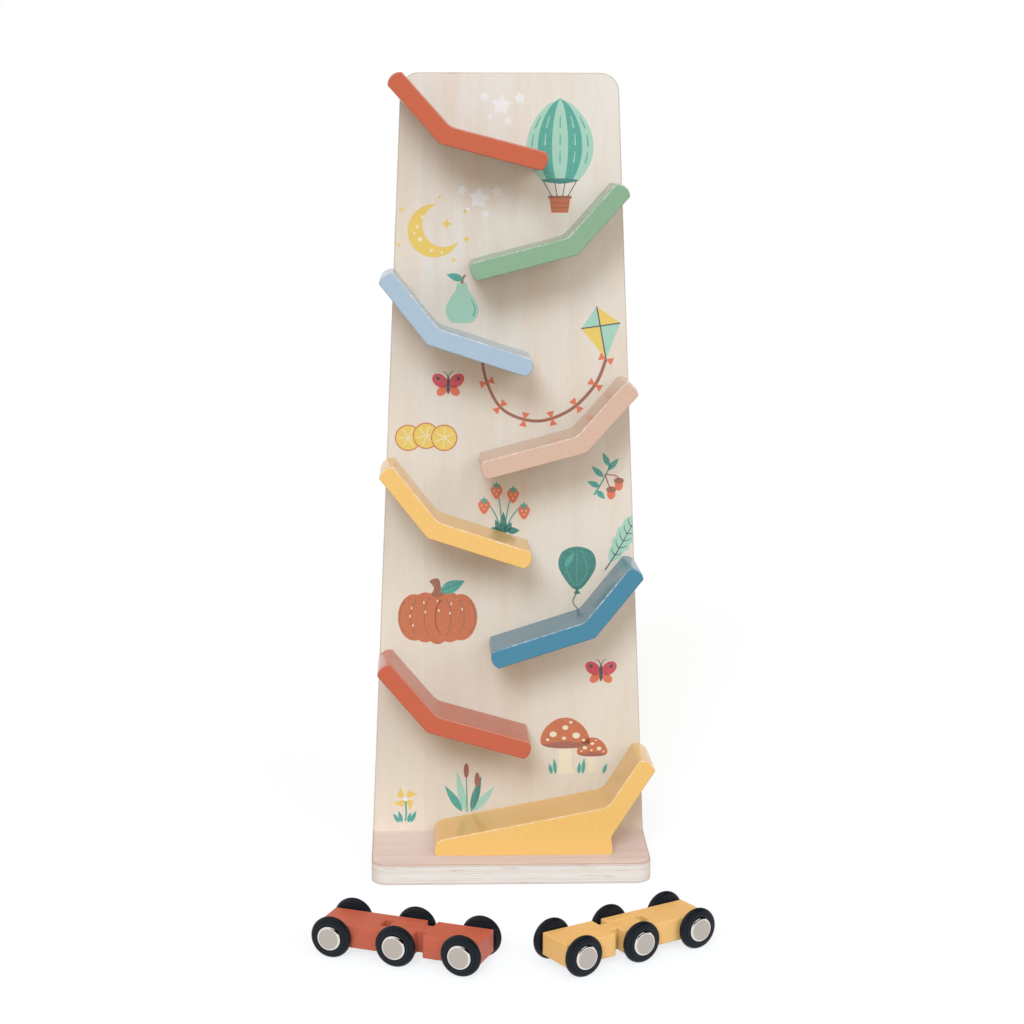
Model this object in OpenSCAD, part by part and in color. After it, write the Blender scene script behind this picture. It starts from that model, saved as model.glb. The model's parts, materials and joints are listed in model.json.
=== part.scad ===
// Click clack track: a leaning board with eight bent ramps on a plywood base,
// and two articulated cars that tumble from ramp to ramp.
// X runs to the right, Y to the back and Z up. The origin is the centre of the base's underside.

/* [Base] */
// Width of the base, and of the backboard's foot
base_w = 200; // [180:1:240]
// Depth of the base from front to back
base_d = 130; // [115:1:170]
// Thickness of the base plywood
base_t = 15; // [13:0.5:20]
// Radius of the base's corners seen from above
base_corner_r = 12; // [4:0.5:20]
// Depth of the slot in the base that holds the backboard
slot_depth = 7; // [4:0.5:9]
// Rounding along the edges of the plywood pieces
ply_ease = 1; // [0.4:0.1:2]

/* [Backboard] */
// Height of the backboard above the base, along its face
board_h = 553; // [530:1:640]
// Width of the backboard at its top
board_top_w = 155; // [145:1:180]
// Thickness of the backboard plywood
board_t = 9; // [7:0.5:12]
// Radius of the backboard's top corners
board_corner_r = 13.5; // [5:0.5:25]
// Backward lean of the backboard, in degrees
board_lean = 4; // [1:0.5:7]
// Distance from the base's front edge to the foot of the backboard's face
board_setback = 75; // [70:1:90]

/* [Ramps] */
// Thickness of a ramp
ramp_t = 13.3; // [11:0.1:16]
// Distance that a ramp stands out from the backboard
ramp_d = 56; // [52:1:64]
// Length of a ramp's gentle arm, from its heel to its low end
gentle_len = 72; // [66:0.5:76]
// Length of a ramp's steep arm, from its heel to its high end
steep_len = 54; // [45:0.5:58]
// Angle between the two arms, in degrees
ramp_bend = 33.4; // [25:0.1:40]
// Radius of the curve on top of the bend
kink_r = 12; // [6:0.5:25]
// Radius under the bend
heel_r = 5; // [1:0.5:6]
// How far the curved ends of a ramp stand out past its corners
end_bulge = 3.1; // [1:0.1:5]
// Rounding along a ramp's front edges
ramp_ease = 0.9; // [0.4:0.1:1.5]

/* [Wedge ramp on the base] */
// Distance from the board's middle to the wedge's low end
wedge_reach = 55; // [50:0.5:62]
// Distance from the board's middle to the bend in the wedge's top
wedge_kink_x = 69.7; // [64:0.1:75]
// Height of the bend in the wedge's top above the base
wedge_kink_h = 31; // [26:0.5:36]
// Slope of the wedge's gentle top, in degrees
wedge_slope = 10.8; // [6:0.1:13]
// Slope of the wedge's steep arm, in degrees
wedge_steep = 57; // [50:0.5:65]
// Length of the steep arm's top face past the bend
wedge_arm_len = 40.3; // [34:0.1:46]
// Thickness of the wedge's steep arm
wedge_arm_t = 14.1; // [12:0.1:16]
// Radius of the curve on top of the wedge's bend
wedge_kink_r = 10; // [4:0.5:14]
// Height of the notch where the steep arm meets the foot
wedge_waist_h = 9; // [7:0.5:11]
// Radius of the notch
wedge_waist_r = 4; // [2:0.5:5]
// How far the foot flares out below the notch
wedge_flare = 1.6; // [0.6:0.2:3]
// Radius of the wedge's rounded low end
wedge_nose_r = 8.5; // [4:0.5:9]
// Radius at the bottom of the wedge's two ends
wedge_toe_r = 2.5; // [1:0.5:3]

/* [Car bodies] */
// Width of a car's wooden body
car_w = 28; // [26:0.5:32]
// Height of a car's wooden body
car_h = 15.4; // [12:0.2:18]
// Distance between neighbouring axles
axle_gap = 46; // [44:0.5:52]
// Length from the middle axle to the rear end
rear_reach = 57; // [54:0.5:62]
// Length from the middle axle to the front end
front_reach = 56.5; // [54:0.5:62]
// Length of the fork's ears past the middle axle
ear_reach = 10.1; // [7:0.1:11]
// Distance from the middle axle to the bottom of the fork's slot
fork_root = 16.4; // [15.8:0.1:20]
// Distance from the middle axle to the shoulders of the front half
shoulder = 17; // [16:0.1:20]
// Length of the tongue past the middle axle
tongue_tip = 10.5; // [7:0.1:11]
// Width of the tongue
tongue_w = 10.6; // [8:0.2:13]
// Gap at each side of the tongue
tongue_gap = 0.4; // [0.2:0.05:0.8]
// Rounding along the body's edges
body_ease = 0.6; // [0.2:0.1:1]

/* [Wheels and axles] */
// Outer radius of a tyre
tyre_r = 14; // [13:0.1:15]
// Radius of the tyre's round cross-section
tyre_tube_r = 3; // [2.4:0.1:3.4]
// Width of a wheel across its flanges
wheel_w = 6.8; // [6:0.1:7.6]
// Distance between the middles of a left and a right wheel
track = 37.2; // [36.4:0.1:40]
// Radius of an axle
axle_r = 2; // [1.5:0.1:3]
// Radial running clearance of an axle in the wood
axle_play = 0.08; // [0.02:0.01:0.1]
// Radius of a metal cap
cap_r = 8.3; // [7:0.1:8.6]
// Height of a cap above the wheel's outer face
cap_proud = 1.6; // [1:0.1:2.4]
// Thickness of the cap's sheet metal
cap_sheet = 0.6; // [0.4:0.05:0.8]

/* [Where the cars stand] */
// Turn of the red car to its right, in degrees
red_turn = 22.5; // [0:0.5:40]
// Turn of the yellow car to its left, in degrees
yellow_turn = 31; // [0:0.5:45]
// Distance from the base's front edge to the red car's middle
red_ahead = 133.3; // [120:0.1:170]
// Distance from the base's front edge to the yellow car's middle
yellow_ahead = 130.9; // [120:0.1:170]
// Gap between the two cars, measured along X
cars_apart = 16.7; // [12:0.1:40]
// Shift of the gap's middle from the track's middle, to the left
cars_shift = 1.9; // [0:0.1:10]

/* [Screws] */
// Radius of a screw's shank
screw_r = 1.9; // [1.5:0.1:2.2]
// Radius of a screw's head
screw_head_r = 3.9; // [3.4:0.1:4.5]
// Length of the screws that hold the ramps
ramp_screw_len = 35; // [25:1:45]
// Length of the screws that hold the backboard's foot
foot_screw_len = 32; // [28:1:40]

/* [Hidden] */
CARS = ["red", "yellow"];
AXLES = ["front", "middle", "rear"];
SIDES = ["left", "right"];
function wheel_name(car, axle, side, piece) = str(car, "_", axle, "_", side, "_", piece);
$fn = 64;

// Steps in a corner's arc, in a small corner's and in an eased edge
arc_steps = 8;
small_steps = 3;
ease_steps = 3;
// Room past a face for a clean cut
overrun = 1;

// Ramps on the backboard from the top down: the side of the heel, its distance from the
// middle as a share of half the board's width there, its height as a share of the board's, its tilt
ramp_side = [-1, 1, -1, 1, -1, 1, -1];
ramp_side_share = [0.629, 0.553, 0.695, 0.598, 0.657, 0.637, 0.624];
ramp_height_share = [0.9085, 0.7707, 0.6573, 0.5193, 0.4103, 0.2796, 0.1566];
ramp_tilt = [14.5, 14.6, 18, 14.9, 18, 17.6, 15.9];
ramp_colors = ["#cc6b4c", "#8fb291", "#aec4d6", "#ddbba5", "#f7c570", "#4b8ca3", "#cd6846", "#f6c575"];
// Places of the two screws along a ramp's arms, and of the wedge's, as shares
screw_arm_share = [0.62, 0.6];
wedge_screw_share = [0.2, 0.85];
// Places of the screws in the backboard's foot, as shares of half the base's width
foot_screw_share = [-0.78, 0, 0.78];

board_y = board_setback - base_d / 2;
half_foot = base_w / 2;
function board_half(height_share) = half_foot + (board_top_w / 2 - half_foot) * height_share;

// Screws: clearance in the board, fit in the wood, depth of the head below the surface
screw_play = 0.2;
screw_fit = 0.02;
head_sink = 0.4;
screw_head_h = screw_head_r - screw_r;
slot_w = 0.9;
slot_len_share = 0.62;
slot_cut_share = 0.55;

// Car: height of the axles, and how wheel, tyre and cap fit together along an axle
axle_z = tyre_r;
body_corner_r = 1.5 * body_ease;
hub_gap = 0.2;
hub_r = axle_r + 2.2;
tyre_fit = 0.05;
press_fit = 0.01;
tyre_mid_r = tyre_r - tyre_tube_r;
flange_r = tyre_mid_r - 0.13 * tyre_tube_r;
cap_seat_r = cap_r + 0.4;
cap_seat_h = 1;
cap_rim_gap = 0.1;
cap_top = wheel_w / 2 + cap_proud;
cap_edge_r = 1.5;
axle_end = track / 2 + cap_top - 2 * cap_sheet;
cap_over_half = track / 2 + cap_top;
groove_r = 0.45;
groove_at_share = 0.84;
car_reach = max(rear_reach, front_reach, axle_gap + tyre_r);

// Places of the cars: the middle axle's x and y, and the heading of the front end
function reach_x(turn) = car_reach * cos(turn) + cap_over_half * abs(sin(turn));
red_x = -cars_shift - cars_apart / 2 - reach_x(red_turn);
yellow_x = -cars_shift + cars_apart / 2 + reach_x(yellow_turn);
car_places = [
    [red_x, -base_d / 2 - red_ahead, -red_turn],
    [yellow_x, -base_d / 2 - yellow_ahead, 180 + yellow_turn]
];
car_colors = ["#ce6b50", "#f3be74"];

// Outline helpers: an arc in place of a corner, and a curved end between two points
function unit(v) = v / norm(v);
function corner(before, at, after, r, steps = arc_steps) =
    let (
        a = unit(before - at),
        b = unit(after - at),
        half = acos(a * b) / 2,
        c = at + unit(a + b) * r / sin(half),
        s = at + a * r / tan(half) - c,
        sweep = sign(cross(at - before, after - at)) * (180 - 2 * half),
        start = atan2(s.y, s.x)
    )
    [for (i = [0:steps]) c + r * [cos(start + sweep * i / steps), sin(start + sweep * i / steps)]];
function rounded(points, radii, steps = arc_steps) =
    let (n = len(points))
    [for (i = [0:n - 1]) each radii[i] == 0 ? [points[i]] :
        corner(points[(i + n - 1) % n], points[i], points[(i + 1) % n], radii[i], steps)];
function bulge(from, to, rise) =
    let (
        half = norm(to - from) / 2,
        r = (half * half + rise * rise) / (2 * rise),
        along = unit(to - from),
        out = [along.y, -along.x],
        c = (from + to) / 2 - out * (r - rise),
        spread = asin(half / r)
    )
    [for (i = [0:arc_steps])
        let (t = spread * (2 * i / arc_steps - 1)) c + r * (out * cos(t) + along * sin(t))];
function inset(points, d) =
    let (n = len(points))
    [for (i = [0:n - 1])
        let (
            e1 = unit(points[i] - points[(i + n - 1) % n]),
            e2 = unit(points[(i + 1) % n] - points[i]),
            n1 = [-e1.y, e1.x],
            n2 = [-e2.y, e2.x]
        )
        points[i] + (n1 + n2) * d / (1 + n1 * n2)];

// Cuts a loop of points into triangles, one ear at a time
function in_triangle(p, a, b, c) = cross(b - a, p - a) > 0 && cross(c - b, p - b) > 0 && cross(a - c, p - c) > 0;
function is_ear(points, loop, i) =
    let (
        n = len(loop),
        a = points[loop[(i + n - 1) % n]],
        b = points[loop[i]],
        c = points[loop[(i + 1) % n]]
    )
    cross(b - a, c - b) > 0 && len([for (j = loop) if (in_triangle(points[j], a, b, c)) j]) == 0;
function first_ear(points, loop, i = 0) = is_ear(points, loop, i) ? i : first_ear(points, loop, i + 1);
function triangles(points, loop) =
    let (n = len(loop))
    n == 3 ? [loop] :
    let (e = first_ear(points, loop))
    concat(
        [[loop[(e + n - 1) % n], loop[e], loop[(e + 1) % n]]],
        triangles(points, [for (i = [0:n - 1]) if (i != e) loop[i]])
    );

// A plate with the given outline: both rims may have a rounded edge
module eased_plate(outline, h, low_ease, high_ease) {
    n = len(outline);
    low = low_ease == 0 ? [[0, 0]] :
        [for (k = [0:ease_steps]) low_ease * [1 - cos(90 * k / ease_steps), 1 - sin(90 * k / ease_steps)]];
    high = high_ease == 0 ? [[h, 0]] :
        [for (k = [0:ease_steps])
            [h - high_ease * (1 - sin(90 * k / ease_steps)), high_ease * (1 - cos(90 * k / ease_steps))]];
    rings = concat(low, high);
    loops = [for (ring = rings) inset(outline, ring[1])];
    last = len(rings) - 1;
    points = [for (k = [0:last]) each [for (p = loops[k]) [p.x, p.y, rings[k][0]]]];
    order = [for (i = [0:n - 1]) i];
    faces = concat(
        triangles(loops[0], order),
        [for (k = [0:last - 1], i = [0:n - 1])
            [k * n + i, (k + 1) * n + i, (k + 1) * n + (i + 1) % n, k * n + (i + 1) % n]],
        [for (t = triangles(loops[last], order)) [for (i = [2:-1:0]) last * n + t[i]]]
    );
    polyhedron(points, faces);
}

// Puts children, drawn with X across, Y up the board and Z out of its face, on the board
module on_board() {
    translate([0, board_y, base_t]) rotate([90 - board_lean, 0, 0]) children();
}

// A countersunk screw along +Z, its head's top at zero, and the hole that it needs
module screw(length) {
    difference() {
        union() {
            cylinder(h = screw_head_h, r1 = screw_head_r, r2 = screw_r);
            cylinder(h = length - screw_r, r = screw_r);
            translate([0, 0, length - screw_r]) cylinder(h = screw_r, r1 = screw_r, r2 = screw_r / 2);
        }
        for (a = [0, 90]) rotate(a) translate([-screw_head_r * slot_len_share, -slot_w / 2, -screw_head_h])
            cube([2 * screw_head_r * slot_len_share, slot_w, screw_head_h * (1 + slot_cut_share)]);
    }
}
module screw_hole(length, r) {
    translate([0, 0, -head_sink - overrun]) cylinder(h = length + head_sink + overrun, r = r);
    cylinder(h = screw_head_h, r1 = screw_head_r + screw_play, r2 = screw_r + screw_play);
    translate([0, 0, -head_sink - overrun]) cylinder(h = head_sink + overrun, r = screw_head_r + screw_play);
}

// Ramp outline with its heel at zero, the gentle arm along +X and the steep arm up to the left
function ramp_outline() =
    let (
        gentle_low = [gentle_len, 0],
        gentle_top = [gentle_len, ramp_t],
        kink = [ramp_t * tan(ramp_bend / 2), ramp_t],
        steep_dir = [-cos(ramp_bend), sin(ramp_bend)],
        steep_up = [sin(ramp_bend), cos(ramp_bend)],
        steep_low = steep_dir * steep_len,
        steep_top = steep_low + steep_up * ramp_t
    )
    concat(
        bulge(gentle_low, gentle_top, end_bulge),
        corner(gentle_top, kink, steep_top, kink_r),
        bulge(steep_top, steep_low, end_bulge),
        corner(steep_low, [0, 0], gentle_low, heel_r)
    );
function mirrored(points) = [for (i = [len(points) - 1:-1:0]) [-points[i].x, points[i].y]];
function ramp_heel(i) =
    [ramp_side[i] * ramp_side_share[i] * board_half(ramp_height_share[i]), ramp_height_share[i] * board_h];

// Screw places in a ramp's own outline, halfway through its thickness
function ramp_screw_places() = [
    [gentle_len * screw_arm_share[0], ramp_t / 2],
    steep_len * screw_arm_share[1] * [-cos(ramp_bend), sin(ramp_bend)]
        + ramp_t / 2 * [sin(ramp_bend), cos(ramp_bend)]
];
// The wedge's outline reaches below the base's top, where it is cut off
wedge_waist_x = wedge_kink_x + wedge_arm_t / sin(wedge_steep)
    - (wedge_kink_h - wedge_waist_h) / tan(wedge_steep);
wedge_foot_x = wedge_waist_x + wedge_flare;
wedge_cut = 0.3;
wedge_drop = ramp_d * tan(board_lean) + wedge_cut;
wedge_low_h = wedge_kink_h - (wedge_kink_x + wedge_reach) * tan(wedge_slope);
function wedge_outline() =
    let (
        arm = [cos(wedge_steep), sin(wedge_steep)],
        across = [sin(wedge_steep), -cos(wedge_steep)],
        kink = [wedge_kink_x, wedge_kink_h],
        top_in = kink + arm * wedge_arm_len,
        top_out = top_in + across * wedge_arm_t,
        waist = [wedge_waist_x, wedge_waist_h],
        foot = [wedge_foot_x, -wedge_drop],
        toe = [-wedge_reach, -wedge_drop],
        nose = [-wedge_reach, wedge_low_h]
    )
    concat(
        corner(toe, foot, waist, wedge_toe_r, small_steps),
        corner(foot, waist, top_out, wedge_waist_r),
        bulge(top_out, top_in, end_bulge),
        corner(top_in, kink, nose, wedge_kink_r),
        corner(kink, nose, toe, wedge_nose_r),
        corner(nose, toe, foot, wedge_toe_r, small_steps)
    );
function wedge_screw_places() = [
    [-wedge_reach + (wedge_foot_x + wedge_reach) * wedge_screw_share[0], wedge_waist_h],
    [wedge_foot_x * wedge_screw_share[1], wedge_kink_h / 2]
];

// Calls its children at each screw of ramp i, in the board's own frame
module at_ramp_screws(i) {
    if (i < 7) {
        side = ramp_side[i];
        heel = ramp_heel(i);
        for (p = ramp_screw_places())
            translate([heel.x, heel.y, 0]) rotate([0, 0, side * ramp_tilt[i]])
                translate([-side * p.x, p.y, -board_t + head_sink]) children();
    } else {
        for (p = wedge_screw_places()) translate([p.x, p.y, -board_t + head_sink]) children();
    }
}

module base() {
    w = base_w / 2;
    d = base_d / 2;
    plan = rounded([[w, -d], [w, d], [-w, d], [-w, -d]], [for (i = [1:4]) base_corner_r]);
    color("#e9d6c8") difference() {
        eased_plate(plan, base_t, ply_ease, ply_ease);
        on_board() translate([-base_w, -slot_depth, -board_t]) cube([2 * base_w, base_t + slot_depth, board_t]);
        at_foot_screws() screw_hole(foot_screw_len, screw_r + screw_play);
    }
}

module backboard() {
    top = board_top_w / 2;
    outline = rounded(
        [[half_foot, -slot_depth], [half_foot, 0], [top, board_h], [-top, board_h],
            [-half_foot, 0], [-half_foot, -slot_depth]],
        [0, 0, board_corner_r, board_corner_r, 0, 0]
    );
    color("#e8dac8") difference() {
        on_board() translate([0, 0, -board_t]) eased_plate(outline, board_t, ply_ease, ply_ease);
        on_board() for (i = [0:7]) at_ramp_screws(i) screw_hole(ramp_screw_len, screw_r + screw_play);
        at_foot_screws() cylinder(h = foot_screw_len, r = screw_r + screw_fit);
    }
}

// Calls its children at each foot screw, standing up through the base into the board's edge
module at_foot_screws() {
    rise = (base_t - slot_depth + foot_screw_len) / 2;
    y = board_y + board_t / 2 + (rise - base_t) * tan(board_lean);
    for (s = foot_screw_share) translate([s * half_foot, y, head_sink]) children();
}

module ramp(i) {
    color(ramp_colors[i]) difference() {
        if (i < 7) {
            side = ramp_side[i];
            heel = ramp_heel(i);
            shape = side < 0 ? ramp_outline() : mirrored(ramp_outline());
            on_board() translate([heel.x, heel.y, 0]) rotate([0, 0, side * ramp_tilt[i]])
                eased_plate(shape, ramp_d, 0, ramp_ease);
        } else {
            on_board() eased_plate(wedge_outline(), ramp_d, 0, ramp_ease);
        }
        translate([-base_w, -base_d, base_t - base_w]) cube([2 * base_w, 2 * base_d, base_w]);
        on_board() at_ramp_screws(i) cylinder(h = ramp_screw_len, r = screw_r + screw_fit);
    }
}

module ramp_screws() {
    color("#b9bcc0") on_board() for (i = [0:7]) at_ramp_screws(i) screw(ramp_screw_len);
}

module foot_screws() {
    color("#b9bcc0") at_foot_screws() screw(foot_screw_len);
}

// Puts children on car c: X towards its front end, Y to its left, Z up, zero under the middle axle
module on_car(c) {
    translate([car_places[c][0], car_places[c][1], 0]) rotate([0, 0, car_places[c][2]]) children();
}
function axle_x(a) = (1 - a) * axle_gap;

module axle_bore(a) {
    translate([axle_x(a), -car_w, axle_z]) rotate([-90, 0, 0]) cylinder(h = 2 * car_w, r = axle_r + axle_play);
}

module fork_body(c) {
    w = car_w / 2;
    slot = tongue_w / 2 + tongue_gap;
    plan = rounded(
        [[-rear_reach, -w], [ear_reach, -w], [ear_reach, -slot], [-fork_root, -slot],
            [-fork_root, slot], [ear_reach, slot], [ear_reach, w], [-rear_reach, w]],
        [for (i = [1:8]) body_corner_r],
        small_steps
    );
    color(car_colors[c]) on_car(c) difference() {
        translate([0, 0, axle_z - car_h / 2]) eased_plate(plan, car_h, body_ease, body_ease);
        axle_bore(1);
        axle_bore(2);
    }
}

module tongue_body(c) {
    w = car_w / 2;
    t = tongue_w / 2;
    plan = rounded(
        [[front_reach, -w], [front_reach, w], [shoulder, w], [shoulder, t],
            [-tongue_tip, t], [-tongue_tip, -t], [shoulder, -t], [shoulder, -w]],
        [for (i = [1:8]) body_corner_r],
        small_steps
    );
    color(car_colors[c]) on_car(c) difference() {
        translate([0, 0, axle_z - car_h / 2]) eased_plate(plan, car_h, body_ease, body_ease);
        axle_bore(0);
        axle_bore(1);
    }
}

module axle(c, a) {
    color("#b9bcc0") on_car(c) translate([axle_x(a), -axle_end, axle_z]) rotate([-90, 0, 0])
        cylinder(h = 2 * axle_end, r = axle_r);
}

// Puts children on a wheel's place: Z outwards along the axle, zero at the wheel's middle
module on_wheel(c, a, side) {
    on_car(c) translate([axle_x(a), side * track / 2, axle_z]) rotate([-90 * side, 0, 0]) children();
}

module wheel(c, a, side) {
    half = wheel_w / 2;
    hub_end = -(track / 2 - car_w / 2 - hub_gap);
    color("#1d2731") on_wheel(c, a, side) rotate_extrude() difference() {
        polygon([
            [axle_r + press_fit, hub_end], [hub_r, hub_end], [hub_r, -half], [flange_r, -half],
            [flange_r, half], [cap_seat_r, half], [cap_seat_r, half - cap_seat_h],
            [axle_r + press_fit, half - cap_seat_h]
        ]);
        translate([tyre_mid_r, 0]) circle(r = tyre_tube_r + tyre_fit);
        translate([flange_r * groove_at_share, -half]) circle(r = groove_r);
    }
}

module tyre(c, a, side) {
    color("#161c22") on_wheel(c, a, side) rotate_extrude()
        translate([tyre_mid_r, 0]) circle(r = tyre_tube_r);
}

module cap(c, a, side) {
    rim = wheel_w / 2 - cap_seat_h + cap_rim_gap;
    inside = cap_top - cap_sheet;
    bend = cap_edge_r - cap_sheet;
    color("#cfc7be") on_wheel(c, a, side) rotate_extrude() difference() {
        union() {
            translate([0, rim]) square([cap_r, cap_top - rim - cap_edge_r]);
            translate([0, rim]) square([cap_r - cap_edge_r, cap_top - rim]);
            translate([cap_r - cap_edge_r, cap_top - cap_edge_r]) circle(r = cap_edge_r);
        }
        difference() {
            union() {
                translate([0, rim - overrun]) square([cap_r - cap_sheet, inside - bend - rim + overrun]);
                translate([0, rim - overrun]) square([cap_r - cap_edge_r, inside - rim + overrun]);
                translate([cap_r - cap_edge_r, inside - bend]) circle(r = bend);
            }
            translate([axle_r + press_fit, rim]) square([cap_sheet, cap_top - rim]);
        }
        translate([-cap_r, rim - overrun]) square([cap_r, cap_top + 2 * overrun]);
        translate([-cap_r, rim - cap_edge_r]) square([2 * cap_r, cap_edge_r]);
    }
}

base();
backboard();
for (i = [0:7]) ramp(i);
ramp_screws();
foot_screws();
for (c = [0:1]) {
    fork_body(c);
    tongue_body(c);
    for (a = [0:2]) {
        axle(c, a);
        for (s = [0:1]) {
            side = 1 - 2 * s;
            wheel(c, a, side);
            tyre(c, a, side);
            cap(c, a, side);
        }
    }
}
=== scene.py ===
"""Looks of the click clack track toy: painted ramps, plywood, a printed garden and two wheeled cars.

Sizes in the classes are in millimetres, as a toy maker writes them, and MM turns them into metres.
Board coordinates run across the board, up its face and out of it, from the middle of its foot.
"""
import json
import logging
import math
from collections.abc import Iterable, Sequence
from dataclasses import dataclass, replace
from enum import Enum

import bmesh
import bpy
from mathutils import Matrix, Vector
from mathutils.geometry import tessellate_polygon


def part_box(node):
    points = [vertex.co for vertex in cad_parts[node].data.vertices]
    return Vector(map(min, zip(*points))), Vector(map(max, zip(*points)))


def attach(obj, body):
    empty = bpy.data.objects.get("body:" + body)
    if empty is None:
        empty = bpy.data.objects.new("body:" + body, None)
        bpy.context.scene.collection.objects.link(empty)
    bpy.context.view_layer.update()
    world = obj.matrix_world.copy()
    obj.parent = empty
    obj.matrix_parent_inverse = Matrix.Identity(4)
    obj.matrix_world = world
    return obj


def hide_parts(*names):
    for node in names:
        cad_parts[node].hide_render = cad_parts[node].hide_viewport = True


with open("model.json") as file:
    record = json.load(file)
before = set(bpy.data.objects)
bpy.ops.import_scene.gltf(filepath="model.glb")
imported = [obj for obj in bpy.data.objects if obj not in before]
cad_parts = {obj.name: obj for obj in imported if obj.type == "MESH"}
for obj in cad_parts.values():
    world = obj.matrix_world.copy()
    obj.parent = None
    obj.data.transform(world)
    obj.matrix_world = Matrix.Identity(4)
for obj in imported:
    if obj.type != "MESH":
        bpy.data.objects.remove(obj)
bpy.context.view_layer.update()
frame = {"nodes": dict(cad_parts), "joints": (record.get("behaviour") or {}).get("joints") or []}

MM = 0.001
WELD = 0.002 * MM
FLAT_DEG = 0.3
SHARP_DEG = 38.0
LOG = logging.getLogger("click_clack_track")

Point = tuple[float, float]
Outline = list[Point]
Tree = bpy.types.NodeTree
Node = bpy.types.Node
Socket = bpy.types.NodeSocket
Material = bpy.types.Material
Mesh = bpy.types.Mesh
Piece = bpy.types.Object


def linear(code: str) -> tuple[float, float, float, float]:
    """Turns an sRGB hex colour into linear red, green, blue and alpha.

    Args:
        code: The colour, such as "#cc6b4c".

    Returns:
        Four numbers for a colour socket.
    """
    parts = [int(code[i:i + 2], 16) / 255 for i in (1, 3, 5)]
    flat = [c / 12.92 if c <= 0.04045 else ((c + 0.055) / 1.055) ** 2.4 for c in parts]
    return (*flat, 1.0)


def add_node(tree: Tree, kind: str, inputs: dict | None = None, **settings) -> Node:
    """Adds a node with its settings, its input values and its links.

    Args:
        tree: The tree that gets the node.
        kind: The node's type, such as "ShaderNodeTexNoise".
        inputs: A value, an output socket or a list of output sockets for each named input.
        **settings: Values of the node's own properties.

    Returns:
        The new node.
    """
    node = tree.nodes.new(kind)
    for key, value in settings.items():
        setattr(node, key, value)
    for key, value in (inputs or {}).items():
        if isinstance(value, (Socket, list)):
            # The last link of a joining socket comes first, so a list is linked from its end
            for source in reversed(value) if isinstance(value, list) else [value]:
                tree.links.new(source, node.inputs[key])
        else:
            node.inputs[key].default_value = value
    return node


def new_object(name: str, mesh: Mesh) -> Piece:
    """Puts a mesh into the scene as an object of that name.

    Args:
        name: The piece's name.
        mesh: Its mesh, in the row frame.

    Returns:
        The new object.
    """
    piece = bpy.data.objects.new(name, mesh)
    bpy.context.scene.collection.objects.link(piece)
    return piece


def soften(piece: Piece) -> Piece:
    """Shades a piece smooth over its curves and flat over its faces, and keeps the result.

    Args:
        piece: An object with a closed mesh.

    Returns:
        The same object, with a plain mesh.
    """
    piece.data.shade_smooth()
    piece.data.set_sharp_from_angle(angle=math.radians(SHARP_DEG))
    weighted = piece.modifiers.new("weighted", "WEIGHTED_NORMAL")
    weighted.keep_sharp = True
    keep_result(piece)
    return piece


def keep_result(piece: Piece) -> None:
    """Replaces a piece's mesh with what its modifiers make of it, and removes them.

    Args:
        piece: The object to settle.
    """
    bpy.context.view_layer.update()
    graph = bpy.context.evaluated_depsgraph_get()
    mesh = bpy.data.meshes.new_from_object(piece.evaluated_get(graph), depsgraph=graph)
    piece.modifiers.clear()
    piece.data = mesh


def merged_copy(node: str, name: str) -> Piece:
    """Copies a CAD node as one closed mesh with joined corners and whole flat faces.

    Args:
        node: The CAD node's name.
        name: The new piece's name.

    Returns:
        The new object, which stands where the node is.
    """
    source = frame["nodes"][node].data
    mesh = bpy.data.meshes.new(name)
    mesh.from_pydata([v.co for v in source.vertices], [], [p.vertices for p in source.polygons])
    form = bmesh.new()
    form.from_mesh(mesh)
    bmesh.ops.remove_doubles(form, verts=form.verts, dist=WELD)
    bmesh.ops.dissolve_degenerate(form, edges=form.edges, dist=WELD)
    bmesh.ops.dissolve_limit(
        form, angle_limit=math.radians(FLAT_DEG), verts=form.verts, edges=form.edges, use_dissolve_boundaries=False
    )
    form.to_mesh(mesh)
    form.free()
    return new_object(name, mesh)


def hand_over(piece: Piece, body: str, slot: str | None = None, *nodes: str) -> None:
    """Fixes a finished piece to its body and hides the nodes that it stands for.

    Args:
        piece: The finished object.
        body: The CAD body that it moves with.
        slot: The record's material slot, if it has one. Not used.
        *nodes: The CAD nodes that it replaces.
    """
    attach(piece, body)
    if nodes:
        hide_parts(*nodes)
    LOG.info("%s: %d faces, on %s", piece.name, len(piece.data.polygons), body)


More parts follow.
